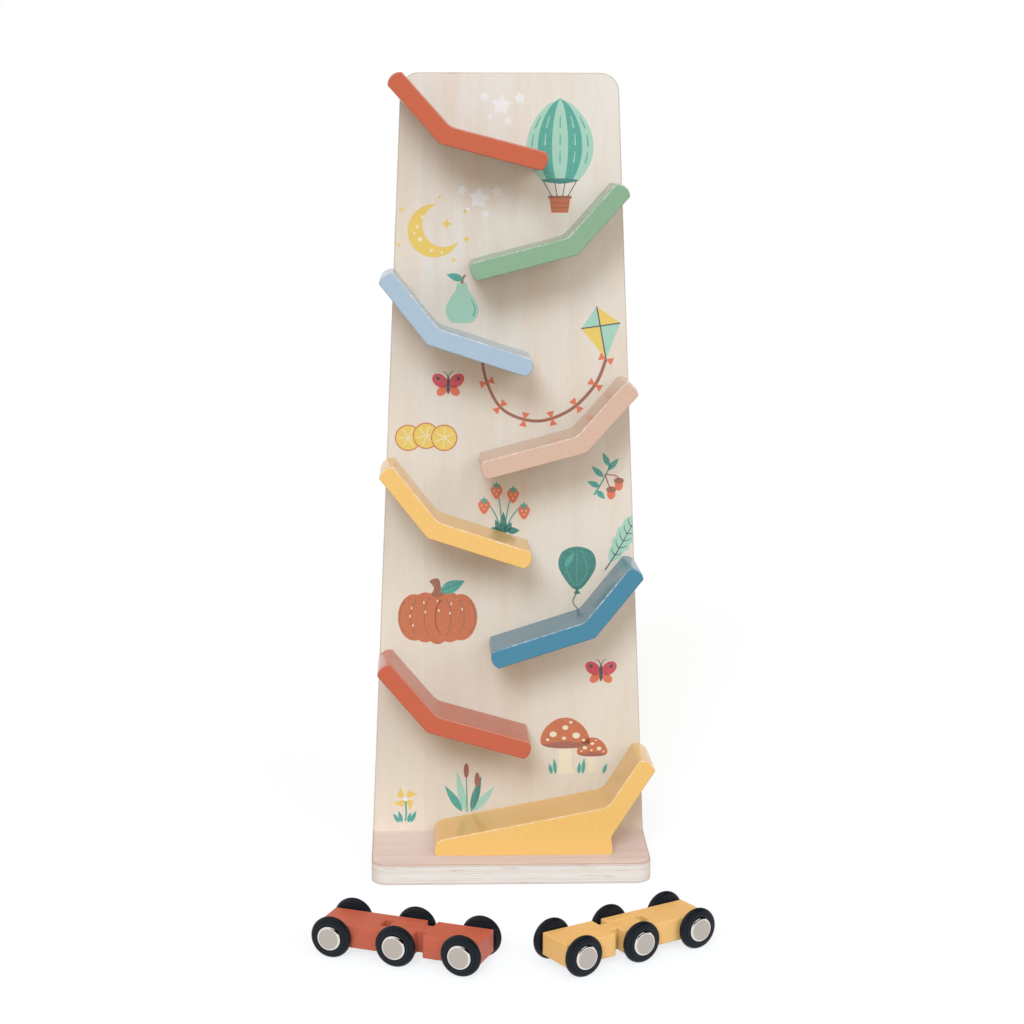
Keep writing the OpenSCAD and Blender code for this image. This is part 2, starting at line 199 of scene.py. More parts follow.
class GrowGroup:
    """A Geometry Nodes group with named inputs that is run once on an object."""

    KINDS = {float: "NodeSocketFloat", tuple: "NodeSocketVector", Material: "NodeSocketMaterial"}

    def __init__(self, name: str, **sizes: type) -> None:
        """Makes the group with a geometry in and out and one input for each size.

        Args:
            name: The group's name.
            **sizes: The type of each named input, with underscores for spaces.
        """
        self.tree = bpy.data.node_groups.new(name, "GeometryNodeTree")
        face = self.tree.interface
        face.new_socket(name="Geometry", in_out="INPUT", socket_type="NodeSocketGeometry")
        for size, kind in sizes.items():
            face.new_socket(name=size, in_out="INPUT", socket_type=self.KINDS[kind])
        face.new_socket(name="Geometry", in_out="OUTPUT", socket_type="NodeSocketGeometry")
        self.inputs = self.tree.nodes.new("NodeGroupInput").outputs

    def add(self, kind: str, inputs: dict | None = None, **settings) -> bpy.types.NodeOutputs:
        """Adds a node and gives its outputs, as add_node does."""
        return add_node(self.tree, kind, inputs, **settings).outputs

    def close(self, geometry: Socket) -> None:
        """Realizes the instances, sets the material and joins the result to the output.

        Args:
            geometry: The output socket that holds the shape.
        """
        real = self.add("GeometryNodeRealizeInstances", {"Geometry": geometry})[0]
        dressed = self.add("GeometryNodeSetMaterial", {"Geometry": real, "Material": self.inputs["Material"]})[0]
        add_node(self.tree, "NodeGroupOutput", {"Geometry": dressed})

    def run(self, name: str, mesh: Mesh, **values: float | int | tuple | Material) -> Piece:
        """Runs the group on a mesh and keeps the result as a plain mesh.

        Args:
            name: The new piece's name.
            mesh: The geometry that goes in.
            **values: A value for each named input.

        Returns:
            The new object.
        """
        piece = new_object(name, mesh)
        modifier = piece.modifiers.new(name, "NODES")
        modifier.node_group = self.tree
        for item in self.tree.interface.items_tree:
            if item.in_out == "INPUT" and item.name in values:
                modifier[item.identifier] = values[item.name]
        keep_result(piece)
        # Set Material leaves an empty first slot on what the nodes drew
        if not piece.data.materials[0]:
            piece.data.materials.pop(index=0)
        return piece


@dataclass(frozen=True)
class Finish:
    """What all finishes share: a material with its surface shader, drawn over the place on the piece."""

    name: str

    def build(self) -> Material:
        """Makes the material.

        Returns:
            The material, dressed.
        """
        material = bpy.data.materials.new(self.name)
        material.use_nodes = True
        tree = material.node_tree
        self.dress(tree, tree.nodes["Principled BSDF"], add_node(tree, "ShaderNodeTexCoord").outputs["Object"])
        return material

    def dress(self, tree: Tree, shader: Node, place: Socket) -> None:
        """Leaves the shader as it is, until a finish links its colour, gloss and relief."""


@dataclass(frozen=True)
class SatinPaint(Finish):
    """Sprayed satin water paint on sanded beech: an even coat, a soft sheen and a faint orange peel."""

    colour: str
    roughness: float = 0.21
    gloss: float = 0.44
    peel_mm: float = 0.9
    mottle_mm: float = 2.4
    grain_mm: float = 1.3
    grain_long_mm: float = 22.0
    mottle_share: float = 0.05
    fibre_share: float = 0.35
    spread: float = 0.35
    peel_depth_mm: float = 0.08
    peel_share: float = 0.12
    bounce: str = "#b7a796"
    bounce_share: float = 0.75

    def dress(self, tree: Tree, shader: Node, place: Socket) -> None:
        """Links the coat, with its blotches, fibres and orange peel.

        Args:
            tree: The material's node tree.
            shader: Its surface shader.
            place: The socket with the place on the piece.
        """
        # The coat lies a little thicker and thinner over the wood, as soft blotches
        mottle = add_node(tree, "ShaderNodeTexNoise", {
            "Vector": place, "Scale": 1 / (self.mottle_mm * MM), "Detail": 3.0, "Roughness": 0.6
        }).outputs["Fac"]
        # Fibres of the beech telegraph through as faint lines along the part
        along = add_node(tree, "ShaderNodeMapping", {
            "Vector": place,
            "Scale": (1 / (self.grain_long_mm * MM), 1 / (self.grain_mm * MM), 1 / (self.grain_mm * MM))
        }).outputs["Vector"]
        fibres = add_node(tree, "ShaderNodeTexNoise", {"Vector": along, "Scale": 1.0, "Detail": 2.0}).outputs["Fac"]
        both = add_node(tree, "ShaderNodeMath", {
            0: fibres, 1: self.fibre_share, 2: mottle
        }, operation="MULTIPLY_ADD").outputs[0]
        middle = (1 + self.fibre_share) / 2
        level = add_node(tree, "ShaderNodeMapRange", {
            "Value": both, "From Min": middle - self.spread, "From Max": middle + self.spread,
            "To Min": 1 - self.mottle_share, "To Max": 1 + self.mottle_share
        }).outputs["Result"]
        tint = add_node(tree, "ShaderNodeVectorMath", {
            0: linear(self.colour)[:3], "Scale": level
        }, operation="SCALE").outputs["Vector"]
        # Light that bounces off the paint onto the board is given a paler, greyer colour than the paint shows: painted
        # bounce light, not the paint's own colour
        bounced = add_node(tree, "ShaderNodeMath", {
            0: add_node(tree, "ShaderNodeLightPath").outputs["Is Diffuse Ray"], 1: self.bounce_share
        }, operation="MULTIPLY").outputs[0]
        colour = add_node(tree, "ShaderNodeMix", {
            0: bounced, 6: self.top_coat(tree, place, tint), 7: linear(self.bounce)
        }, data_type="RGBA").outputs[2]
        tree.links.new(colour, shader.inputs["Base Color"])
        shader.inputs["Roughness"].default_value = self.roughness
        shader.inputs["Specular IOR Level"].default_value = self.gloss
        peel = add_node(tree, "ShaderNodeTexNoise", {
            "Vector": place, "Scale": 1 / (self.peel_mm * MM), "Detail": 1.0
        }).outputs["Fac"]
        height = add_node(tree, "ShaderNodeMath", {0: peel, 1: fibres}, operation="ADD").outputs[0]
        bump = add_node(tree, "ShaderNodeBump", {
            "Height": height, "Strength": self.peel_share, "Distance": self.peel_depth_mm * MM
        })
        tree.links.new(bump.outputs["Normal"], shader.inputs["Normal"])

    def top_coat(self, tree: Tree, place: Socket, tint: Socket) -> Socket:
        """Gives the colour of the whole coat, with no painted edge highlight."""
        return tint


@dataclass(frozen=True)
class WornHighlightPaint(SatinPaint):
    """The same paint on an upper front edge, paled in short dashes: a painted highlight where light from above catches
    the eased edge, and wear down to the pale undercoat.
    """

    undercoat_and_highlight: str = "#f8f3ec"
    highlight_mm: float = 3.2
    highlight_range: tuple[float, float] = (0.42, 0.66)
    least_share: float = 0.15
    most_share: float = 0.65

    def top_coat(self, tree: Tree, place: Socket, tint: Socket) -> Socket:
        """Pales the coat in dashes, as painted highlight and wear.

        Args:
            tree: The material's node tree.
            place: The socket with the place on the piece.
            tint: The socket with the coat's colour.

        Returns:
            The socket with the coat's colour and its painted highlight.
        """
        highlight = add_node(tree, "ShaderNodeTexNoise", {
            "Vector": place, "Scale": 1 / (self.highlight_mm * MM), "Detail": 2.0
        }).outputs["Fac"]
        share = add_node(tree, "ShaderNodeMapRange", {
            "Value": highlight, "From Min": self.highlight_range[0], "From Max": self.highlight_range[1],
            "To Min": self.least_share, "To Max": self.most_share
        }).outputs["Result"]
        # The pale colour, in dashes, is painted highlight as well as wear
        return add_node(tree, "ShaderNodeMix", {
            0: share, 6: tint, 7: linear(self.undercoat_and_highlight)
        }, data_type="RGBA").outputs[2]


class Grain(Enum):
    """The way that the face veneer's grain runs."""

    UP = "along the board's height"
    ACROSS = "along the base's width"


@dataclass(frozen=True)
class Veneer(Finish):
    """Sanded birch face veneer: pale and matt, with fine fibres and broad warm streaks along the grain."""

    grain: Grain
    pale: str
    fibre: str
    warm: str
    fibre_mm: float = 0.8
    fibre_long_mm: float = 60.0
    fibre_range: tuple[float, float] = (0.42, 0.72)
    fibre_share: float = 0.34
    streak_mm: float = 14.0
    streak_long_mm: float = 130.0
    streak_range: tuple[float, float] = (0.4, 0.7)
    streak_share: float = 0.75
    strip_mm: float = 62.0
    strip_share: float = 0.025
    foot: str = ""
    height_mm: float = 569.0
    relief_share: float = 0.1
    relief_mm: float = 0.1
    roughness: float = 0.5

    def scale(self, wide_mm: float, long_mm: float) -> tuple[float, float, float]:
        """Gives a Mapping scale for a pattern of that width and length along the grain."""
        wide, long = 1 / (wide_mm * MM), 1 / (long_mm * MM)
        return (wide, wide, long) if self.grain is Grain.UP else (long, wide, wide)

    def dress(self, tree: Tree, shader: Node, place: Socket) -> None:
        """Links the fibres, the streaks and the strips of veneer.

        Args:
            tree: The material's node tree.
            shader: Its surface shader.
            place: The socket with the place on the piece.
        """
        fine = add_node(tree, "ShaderNodeMapping", {
            "Vector": place, "Scale": self.scale(self.fibre_mm, self.fibre_long_mm)
        }).outputs["Vector"]
        fibres = add_node(tree, "ShaderNodeTexNoise", {
            "Vector": fine, "Scale": 1.0, "Detail": 4.0, "Roughness": 0.65
        }).outputs["Fac"]
        # It is laid in strips that differ a little in tone
        side = "X" if self.grain is Grain.UP else "Y"
        across = add_node(tree, "ShaderNodeSeparateXYZ", {"Vector": place}).outputs[side]
        strip = add_node(tree, "ShaderNodeMath", {
            0: across, 1: self.strip_mm * MM
        }, operation="SNAP").outputs[0]
        tone = add_node(tree, "ShaderNodeTexWhiteNoise", {"W": strip}, noise_dimensions="1D").outputs["Value"]
        level = add_node(tree, "ShaderNodeMapRange", {
            "Value": tone, "To Min": 1 - self.strip_share, "To Max": 1 + self.strip_share
        }).outputs["Result"]
        laid = add_node(tree, "ShaderNodeVectorMath", {
            0: self.wood(tree, place, fibres), "Scale": level
        }, operation="SCALE").outputs["Vector"]
        tree.links.new(laid, shader.inputs["Base Color"])
        shader.inputs["Roughness"].default_value = self.roughness
        bump = add_node(tree, "ShaderNodeBump", {
            "Height": fibres, "Strength": self.relief_share, "Distance": self.relief_mm * MM
        })
        tree.links.new(bump.outputs["Normal"], shader.inputs["Normal"])

    def wood(self, tree: Tree, place: Socket, fibres: Socket) -> Socket:
        """Colours the wood: pale, with broad warm streaks and darker fibres.

        Args:
            tree: The material's node tree.
            place: The socket with the place on the piece.
            fibres: The socket with the fibres.

        Returns:
            The socket with the colour.
        """
        broad = add_node(tree, "ShaderNodeMapping", {
            "Vector": place, "Scale": self.scale(self.streak_mm, self.streak_long_mm)
        }).outputs["Vector"]
        streaks = add_node(tree, "ShaderNodeTexNoise", {
            "Vector": broad, "Scale": 1.0, "Detail": 3.0, "Roughness": 0.55, "Distortion": 0.3
        }).outputs["Fac"]
        fibre_level = add_node(tree, "ShaderNodeMapRange", {
            "Value": fibres, "From Min": self.fibre_range[0], "From Max": self.fibre_range[1],
            "To Max": self.fibre_share
        }).outputs["Result"]
        streak_level = add_node(tree, "ShaderNodeMapRange", {
            "Value": streaks, "From Min": self.streak_range[0], "From Max": self.streak_range[1],
            "To Max": self.streak_share
        }).outputs["Result"]
        # The colour goes a shade warmer and darker towards the foot
        height = add_node(tree, "ShaderNodeSeparateXYZ", {"Vector": place}).outputs["Z"]
        rise = add_node(tree, "ShaderNodeMapRange", {
            "Value": height, "From Max": self.height_mm * MM
        }).outputs["Result"]
        pale = add_node(tree, "ShaderNodeMix", {
            0: rise, 6: linear(self.foot or self.pale), 7: linear(self.pale)
        }, data_type="RGBA")
        base = add_node(tree, "ShaderNodeMix", {
            0: streak_level, 6: pale.outputs[2], 7: linear(self.warm)
        }, data_type="RGBA")
        return add_node(tree, "ShaderNodeMix", {
            0: fibre_level, 6: base.outputs[2], 7: linear(self.fibre)
        }, data_type="RGBA").outputs[2]


@dataclass(frozen=True)
class PlyEdge(Finish):
    """Sanded edge of birch plywood: pale plies with thin grey glue lines and a few stained spots.

    The three scales count waves, fibres and spots to the metre along X, Y and Z.
    """

    thickness_mm: float
    plies: int
    foot_mm: float = 0.0
    pale: str = "#f3ece5"
    cross: str = "#f0e5da"
    skin: str = "#e8d6cb"
    glue: str = "#b8a99c"
    stain: str = "#b98f72"
    glue_share: float = 0.24
    glue_level: float = 0.62
    rim_share: float = 0.45
    rim_plies: tuple[float, float] = (0.45, 0.1)
    skin_plies: tuple[float, float] = (1.1, 0.9)
    closed_range: tuple[float, float] = (0.3, 0.5)
    stain_range: tuple[float, float] = (0.62, 0.76)
    stain_share: float = 0.5
    fibre_range: tuple[float, float] = (0.45, 0.8)
    fibre_share: float = 0.5
    waver_mm: float = 0.35
    drift_scale: tuple[float, ...] = (18.0, 18.0, 60.0)
    fibre_scale: tuple[float, ...] = (60.0, 60.0, 3000.0)
    spot_scale: tuple[float, ...] = (55.0, 55.0, 700.0)
    relief_share: float = 0.15
    relief_mm: float = 0.1
    roughness: float = 0.6

    def dress(self, tree: Tree, shader: Node, place: Socket) -> None:
        """Draws the plies through the thickness, which runs along Z, with their glue lines and stains.

        Args:
            tree: The material's node tree.
            shader: Its surface shader.
            place: The socket with the place on the piece.
        """
        fine = add_node(tree, "ShaderNodeMapping", {"Vector": place, "Scale": self.fibre_scale}).outputs["Vector"]
        fibres = add_node(tree, "ShaderNodeTexNoise", {"Vector": fine, "Scale": 1.0, "Detail": 3.0}).outputs["Fac"]
        count = self.count(tree, place)
        inside = add_node(tree, "ShaderNodeMath", {0: count}, operation="FRACT").outputs[0]
        line = add_node(tree, "ShaderNodeMapRange", {
            "Value": inside, "From Min": 0.0, "From Max": self.glue_share, "To Min": self.glue_level, "To Max": 0.0
        }).outputs["Result"]
        # Sanding closes the glue lines here and there, and leaves a few stained spots
        broad = add_node(tree, "ShaderNodeMapping", {"Vector": place, "Scale": self.spot_scale}).outputs["Vector"]
        patches = add_node(tree, "ShaderNodeTexNoise", {"Vector": broad, "Scale": 1.0, "Detail": 3.0}).outputs["Fac"]
        open_share = add_node(tree, "ShaderNodeMapRange", {
            "Value": patches, "From Min": self.closed_range[0], "From Max": self.closed_range[1]
        }).outputs["Result"]
        broken = add_node(tree, "ShaderNodeMath", {0: line, 1: open_share}, operation="MULTIPLY").outputs[0]
        glued = add_node(tree, "ShaderNodeMix", {
            0: broken, 6: self.wood(tree, count, fibres), 7: linear(self.glue)
        }, data_type="RGBA").outputs[2]
        stain_share = add_node(tree, "ShaderNodeMapRange", {
            "Value": patches, "From Min": self.stain_range[0], "From Max": self.stain_range[1],
            "To Max": self.stain_share
        }).outputs["Result"]
        colour = add_node(tree, "ShaderNodeMix", {
            0: stain_share, 6: glued, 7: linear(self.stain)
        }, data_type="RGBA").outputs[2]
        tree.links.new(colour, shader.inputs["Base Color"])
        shader.inputs["Roughness"].default_value = self.roughness
        bump = add_node(tree, "ShaderNodeBump", {
            "Height": fibres, "Strength": self.relief_share, "Distance": self.relief_mm * MM
        })
        tree.links.new(bump.outputs["Normal"], shader.inputs["Normal"])

    def count(self, tree: Tree, place: Socket) -> Socket:
        """Counts the plies from the lower face. They waver a little, because veneers are peeled and pressed.

        Args:
            tree: The material's node tree.
            place: The socket with the place on the piece.

        Returns:
            The socket with the number of plies below a place.
        """
        drift = add_node(tree, "ShaderNodeMapping", {"Vector": place, "Scale": self.drift_scale}).outputs["Vector"]
        waver = add_node(tree, "ShaderNodeTexNoise", {"Vector": drift, "Scale": 1.0, "Detail": 2.0}).outputs["Fac"]
        height = add_node(tree, "ShaderNodeSeparateXYZ", {"Vector": place}).outputs["Z"]
        ply = self.thickness_mm * MM / self.plies
        shift = add_node(tree, "ShaderNodeMath", {
            0: waver, 1: self.waver_mm * MM, 2: height
        }, operation="MULTIPLY_ADD").outputs[0]
        return add_node(tree, "ShaderNodeMath", {
            0: shift, 1: 1 / ply, 2: -self.foot_mm * MM / ply
        }, operation="MULTIPLY_ADD").outputs[0]

    def wood(self, tree: Tree, count: Socket, fibres: Socket) -> Socket:
        """Colours the plies: turned ones in turn, pinkish outer ones like the faces, and a darker band next to each
        face.

        Args:
            tree: The material's node tree.
            count: The socket with the number of plies below a place.
            fibres: The socket with the fibres.

        Returns:
            The socket with the colour.
        """
        pair = add_node(tree, "ShaderNodeMath", {0: count, 1: 2.0}, operation="PINGPONG").outputs[0]
        turned = add_node(tree, "ShaderNodeMath", {0: pair, 1: 1.0}, operation="GREATER_THAN").outputs[0]
        streaky = add_node(tree, "ShaderNodeMapRange", {
            "Value": fibres, "From Min": self.fibre_range[0], "From Max": self.fibre_range[1],
            "To Max": self.fibre_share
        }).outputs["Result"]
        half = self.plies / 2
        middle = add_node(tree, "ShaderNodeMath", {0: count, 1: half}, operation="SUBTRACT").outputs[0]
        outer = add_node(tree, "ShaderNodeMath", {0: middle}, operation="ABSOLUTE").outputs[0]
        skin_share = add_node(tree, "ShaderNodeMapRange", {
            "Value": outer, "From Min": half - self.skin_plies[0], "From Max": half - self.skin_plies[1]
        }).outputs["Result"]
        rim = add_node(tree, "ShaderNodeMapRange", {
            "Value": outer, "From Min": half - self.rim_plies[0], "From Max": half - self.rim_plies[1],
            "To Max": self.rim_share
        }).outputs["Result"]
        colour = linear(self.pale)
        for share, over in ((turned, self.cross), (streaky, self.cross), (skin_share, self.skin), (rim, self.stain)):
            colour = add_node(tree, "ShaderNodeMix", {
                0: share, 6: colour, 7: linear(over)
            }, data_type="RGBA").outputs[2]
        return colour


class Ink(Enum):
    """The inks of the printed garden."""

    WHITE = "#f1eff0"
    CREAM = "#f3e6c8"
    YELLOW = "#eecb62"
    MINT = "#a3d3bf"
    TEAL = "#3fa598"
    PINE = "#1f7f79"
    RUST = "#cb6a42"
    BROWN = "#a05c4b"
    CORAL = "#e8704f"
    CRIMSON = "#d83f58"
    NAVY = "#2b3c55"


@dataclass(frozen=True)
class PrintInk(Finish):
    """UV printed ink on bare veneer: matt, very thin and slightly speckled where the grain drinks it."""

    ink: Ink
    speckle_mm: float = 0.8
    speckle_range: tuple[float, float] = (0.35, 0.68)
    speckle_share: float = 0.16
    roughness: float = 0.45

    def dress(self, tree: Tree, shader: Node, place: Socket) -> None:
        """Links the ink, speckled with the paler wood.

        Args:
            tree: The material's node tree.
            shader: Its surface shader.
            place: The socket with the place on the piece.
        """
        speckle = add_node(tree, "ShaderNodeTexNoise", {
            "Vector": place, "Scale": 1 / (self.speckle_mm * MM), "Detail": 3.0, "Roughness": 0.7
        }).outputs["Fac"]
        level = add_node(tree, "ShaderNodeMapRange", {
            "Value": speckle, "From Min": self.speckle_range[0], "From Max": self.speckle_range[1],
            "To Max": self.speckle_share
        }).outputs["Result"]
        colour = add_node(tree, "ShaderNodeMix", {
            0: level, 6: linear(self.ink.value), 7: linear(Ink.CREAM.value)
        }, data_type="RGBA").outputs[2]
        tree.links.new(colour, shader.inputs["Base Color"])
        shader.inputs["Roughness"].default_value = self.roughness


@dataclass(frozen=True)
class Moulded(Finish):
    """Black moulded rubber or ABS: a deep blue black with a soft sheen and a fine moulded grain."""

    colour: str
    roughness: float
    sheen_level: float = 0.22
    grain_mm: float = 0.4
    grain_range: tuple[float, float] = (0.3, 0.7)
    dust_range: tuple[float, float] = (0.8, 1.25)
    relief_share: float = 0.15
    relief_mm: float = 0.05

    def dress(self, tree: Tree, shader: Node, place: Socket) -> None:
        """Links the black, a little paler and darker along its fine grain.

        Args:
            tree: The material's node tree.
            shader: Its surface shader.
            place: The socket with the place on the piece.
        """
        grain = add_node(tree, "ShaderNodeTexNoise", {
            "Vector": place, "Scale": 1 / (self.grain_mm * MM), "Detail": 2.0
        }).outputs["Fac"]
        dust = add_node(tree, "ShaderNodeMapRange", {
            "Value": grain, "From Min": self.grain_range[0], "From Max": self.grain_range[1],
            "To Min": self.dust_range[0], "To Max": self.dust_range[1]
        }).outputs["Result"]
        tint = add_node(tree, "ShaderNodeVectorMath", {0: linear(self.colour)[:3], "Scale": dust}, operation="SCALE")
        tree.links.new(tint.outputs["Vector"], shader.inputs["Base Color"])
        shader.inputs["Roughness"].default_value = self.roughness
        shader.inputs["Specular IOR Level"].default_value = self.sheen_level
        bump = add_node(tree, "ShaderNodeBump", {
            "Height": grain, "Strength": self.relief_share, "Distance": self.relief_mm * MM
        })
        tree.links.new(bump.outputs["Normal"], shader.inputs["Normal"])


@dataclass(frozen=True)
class Plated(Finish):
    """Steel with a satin nickel or zinc plate: a soft metal shine with small dents from tumbling."""

    colour: str
    roughness: float
    dent_mm: float = 1.4
    roughness_spread: tuple[float, float] = (0.06, 0.08)
    relief_share: float = 0.12
    relief_mm: float = 0.1

    def dress(self, tree: Tree, shader: Node, place: Socket) -> None:
        """Links the plate, with its dents.

        Args:
            tree: The material's node tree.
            shader: Its surface shader.
            place: The socket with the place on the piece.
        """
        dents = add_node(tree, "ShaderNodeTexNoise", {
            "Vector": place, "Scale": 1 / (self.dent_mm * MM), "Detail": 3.0
        }).outputs["Fac"]
        shine = add_node(tree, "ShaderNodeMapRange", {
            "Value": dents, "To Min": self.roughness - self.roughness_spread[0],
            "To Max": self.roughness + self.roughness_spread[1]
        }).outputs["Result"]
        shader.inputs["Base Color"].default_value = linear(self.colour)
        shader.inputs["Metallic"].default_value = 1.0
        tree.links.new(shine, shader.inputs["Roughness"])
        self.polish(tree, shader, shine)
        bump = add_node(tree, "ShaderNodeBump", {
            "Height": dents, "Strength": self.relief_share, "Distance": self.relief_mm * MM
        })
        tree.links.new(bump.outputs["Normal"], shader.inputs["Normal"])

    def polish(self, tree: Tree, shader: Node, shine: Socket) -> None:
        """Leaves the plate as satin all over."""


@dataclass(frozen=True)
class CapPlate(Plated):
    """The same nickel on a pressed cap: dull on the face and polished on the rolled rim, whose paler colour is painted
    highlight.
    """

    # The rim's paler nickel is painted highlight
    rim: str = "#e6e0d9"
    rim_roughness: float = 0.07
    mark: str = "rim"

    def polish(self, tree: Tree, shader: Node, shine: Socket) -> None:
        """Makes the rim polished, and paler as painted highlight, where the mesh's mark is one.

        Args:
            tree: The material's node tree.
            shader: Its surface shader.
            shine: The socket with the face's roughness.
        """
        rim = add_node(tree, "ShaderNodeAttribute", attribute_name=self.mark).outputs["Fac"]
        colour = add_node(tree, "ShaderNodeMix", {
            0: rim, 6: linear(self.colour), 7: linear(self.rim)
        }, data_type="RGBA").outputs[2]
        smooth = add_node(tree, "ShaderNodeMix", {0: rim, 2: shine, 3: self.rim_roughness}).outputs[0]
        tree.links.new(colour, shader.inputs["Base Color"])
        tree.links.new(smooth, shader.inputs["Roughness"])


@dataclass(frozen=True)
class Board:
    """The leaning backboard's face, on which ramps and print are placed."""

    setback: float = 75.0
    lean_deg: float = 4.0
    height: float = 553.0
    foot_half: float = 100.0
    top_half: float = 77.5

    def matrix(self) -> Matrix:
        """Gives the transform from board coordinates, in metres, to the row frame.

        Returns:
            The transform.
        """
        low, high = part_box("base")
        foot = Vector((0, low.y + self.setback * MM, high.z))
        return Matrix.Translation(foot) @ Matrix.Rotation(math.radians(90 - self.lean_deg), 4, "X")

    def half_width(self, height_share: float) -> float:
        """Gives half the board's width at a share of its height, in millimetres."""
        return self.foot_half + (self.top_half - self.foot_half) * height_share


@dataclass(frozen=True)
class PlyAcross(PlyEdge):
    """The same plies where the plywood stands up, so they lie behind each other from the face back."""

    board: Board = Board()

    def dress(self, tree: Tree, shader: Node, place: Socket) -> None:
        """Turns the place so that its Z runs out of the board's face, and draws the plies.

        Args:
            tree: The material's node tree.
            shader: Its surface shader.
            place: The socket with the place on the piece.
        """
        back = self.board.matrix().inverted()
        turned = add_node(tree, "ShaderNodeMapping", {
            "Vector": place, "Location": back.to_translation(), "Rotation": back.to_euler()
        }).outputs["Vector"]
        super().dress(tree, shader, turned)


@dataclass
class Track:
    """The plywood foot and backboard, with bare sanded edges and printed or plain faces."""

    board: Board
    base_plies: int = 9
    board_plies: int = 7
    board_thickness: float = 9.0
    base_thickness: float = 15.0
    flat_share: float = 0.999

    def split(self, piece: Piece, normal: Vector, face: Material, edge: Material) -> None:
        """Gives a piece's two faces the veneer and all its edges the plies.

        Args:
            piece: The board or base.
            normal: The direction that its faces look along.
            face: The veneer.
            edge: The plies.
        """
        piece.data.materials.clear()
        for material in (face, edge):
            piece.data.materials.append(material)
        for polygon in piece.data.polygons:
            polygon.material_index = 0 if abs(polygon.normal.dot(normal)) > self.flat_share else 1

    def build(self) -> None:
        """Builds the base and the backboard and hands them over."""
        out = self.board.matrix().to_3x3() @ Vector((0, 0, 1))
        base = merged_copy("base", "plywood_base")
        base_face = Veneer("base_veneer", Grain.ACROSS, "#f5e4df", "#d6bbaf", "#ebd2c7")
        base_edge = PlyEdge("base_edge", self.base_thickness, self.base_plies)
        self.split(base, Vector((0, 0, 1)), base_face.build(), base_edge.build())
        board = merged_copy("backboard", "plywood_backboard")
        board_face = Veneer(
            "board_veneer", Grain.UP, "#ece6de", "#dacbba", "#e8d6c3", fibre_share=0.26, streak_share=0.7,
            foot="#ecdecb"
        )
        board_edge = PlyAcross(
            "board_edge", self.board_thickness, self.board_plies, skin="#e9dfd2", rim_share=0.1, board=self.board
        )
        self.split(board, out, board_face.build(), board_edge.build())
        for piece, node in ((base, "base"), (board, "backboard")):
            soften(piece)
            hand_over(piece, "track", "natural_ply", node)


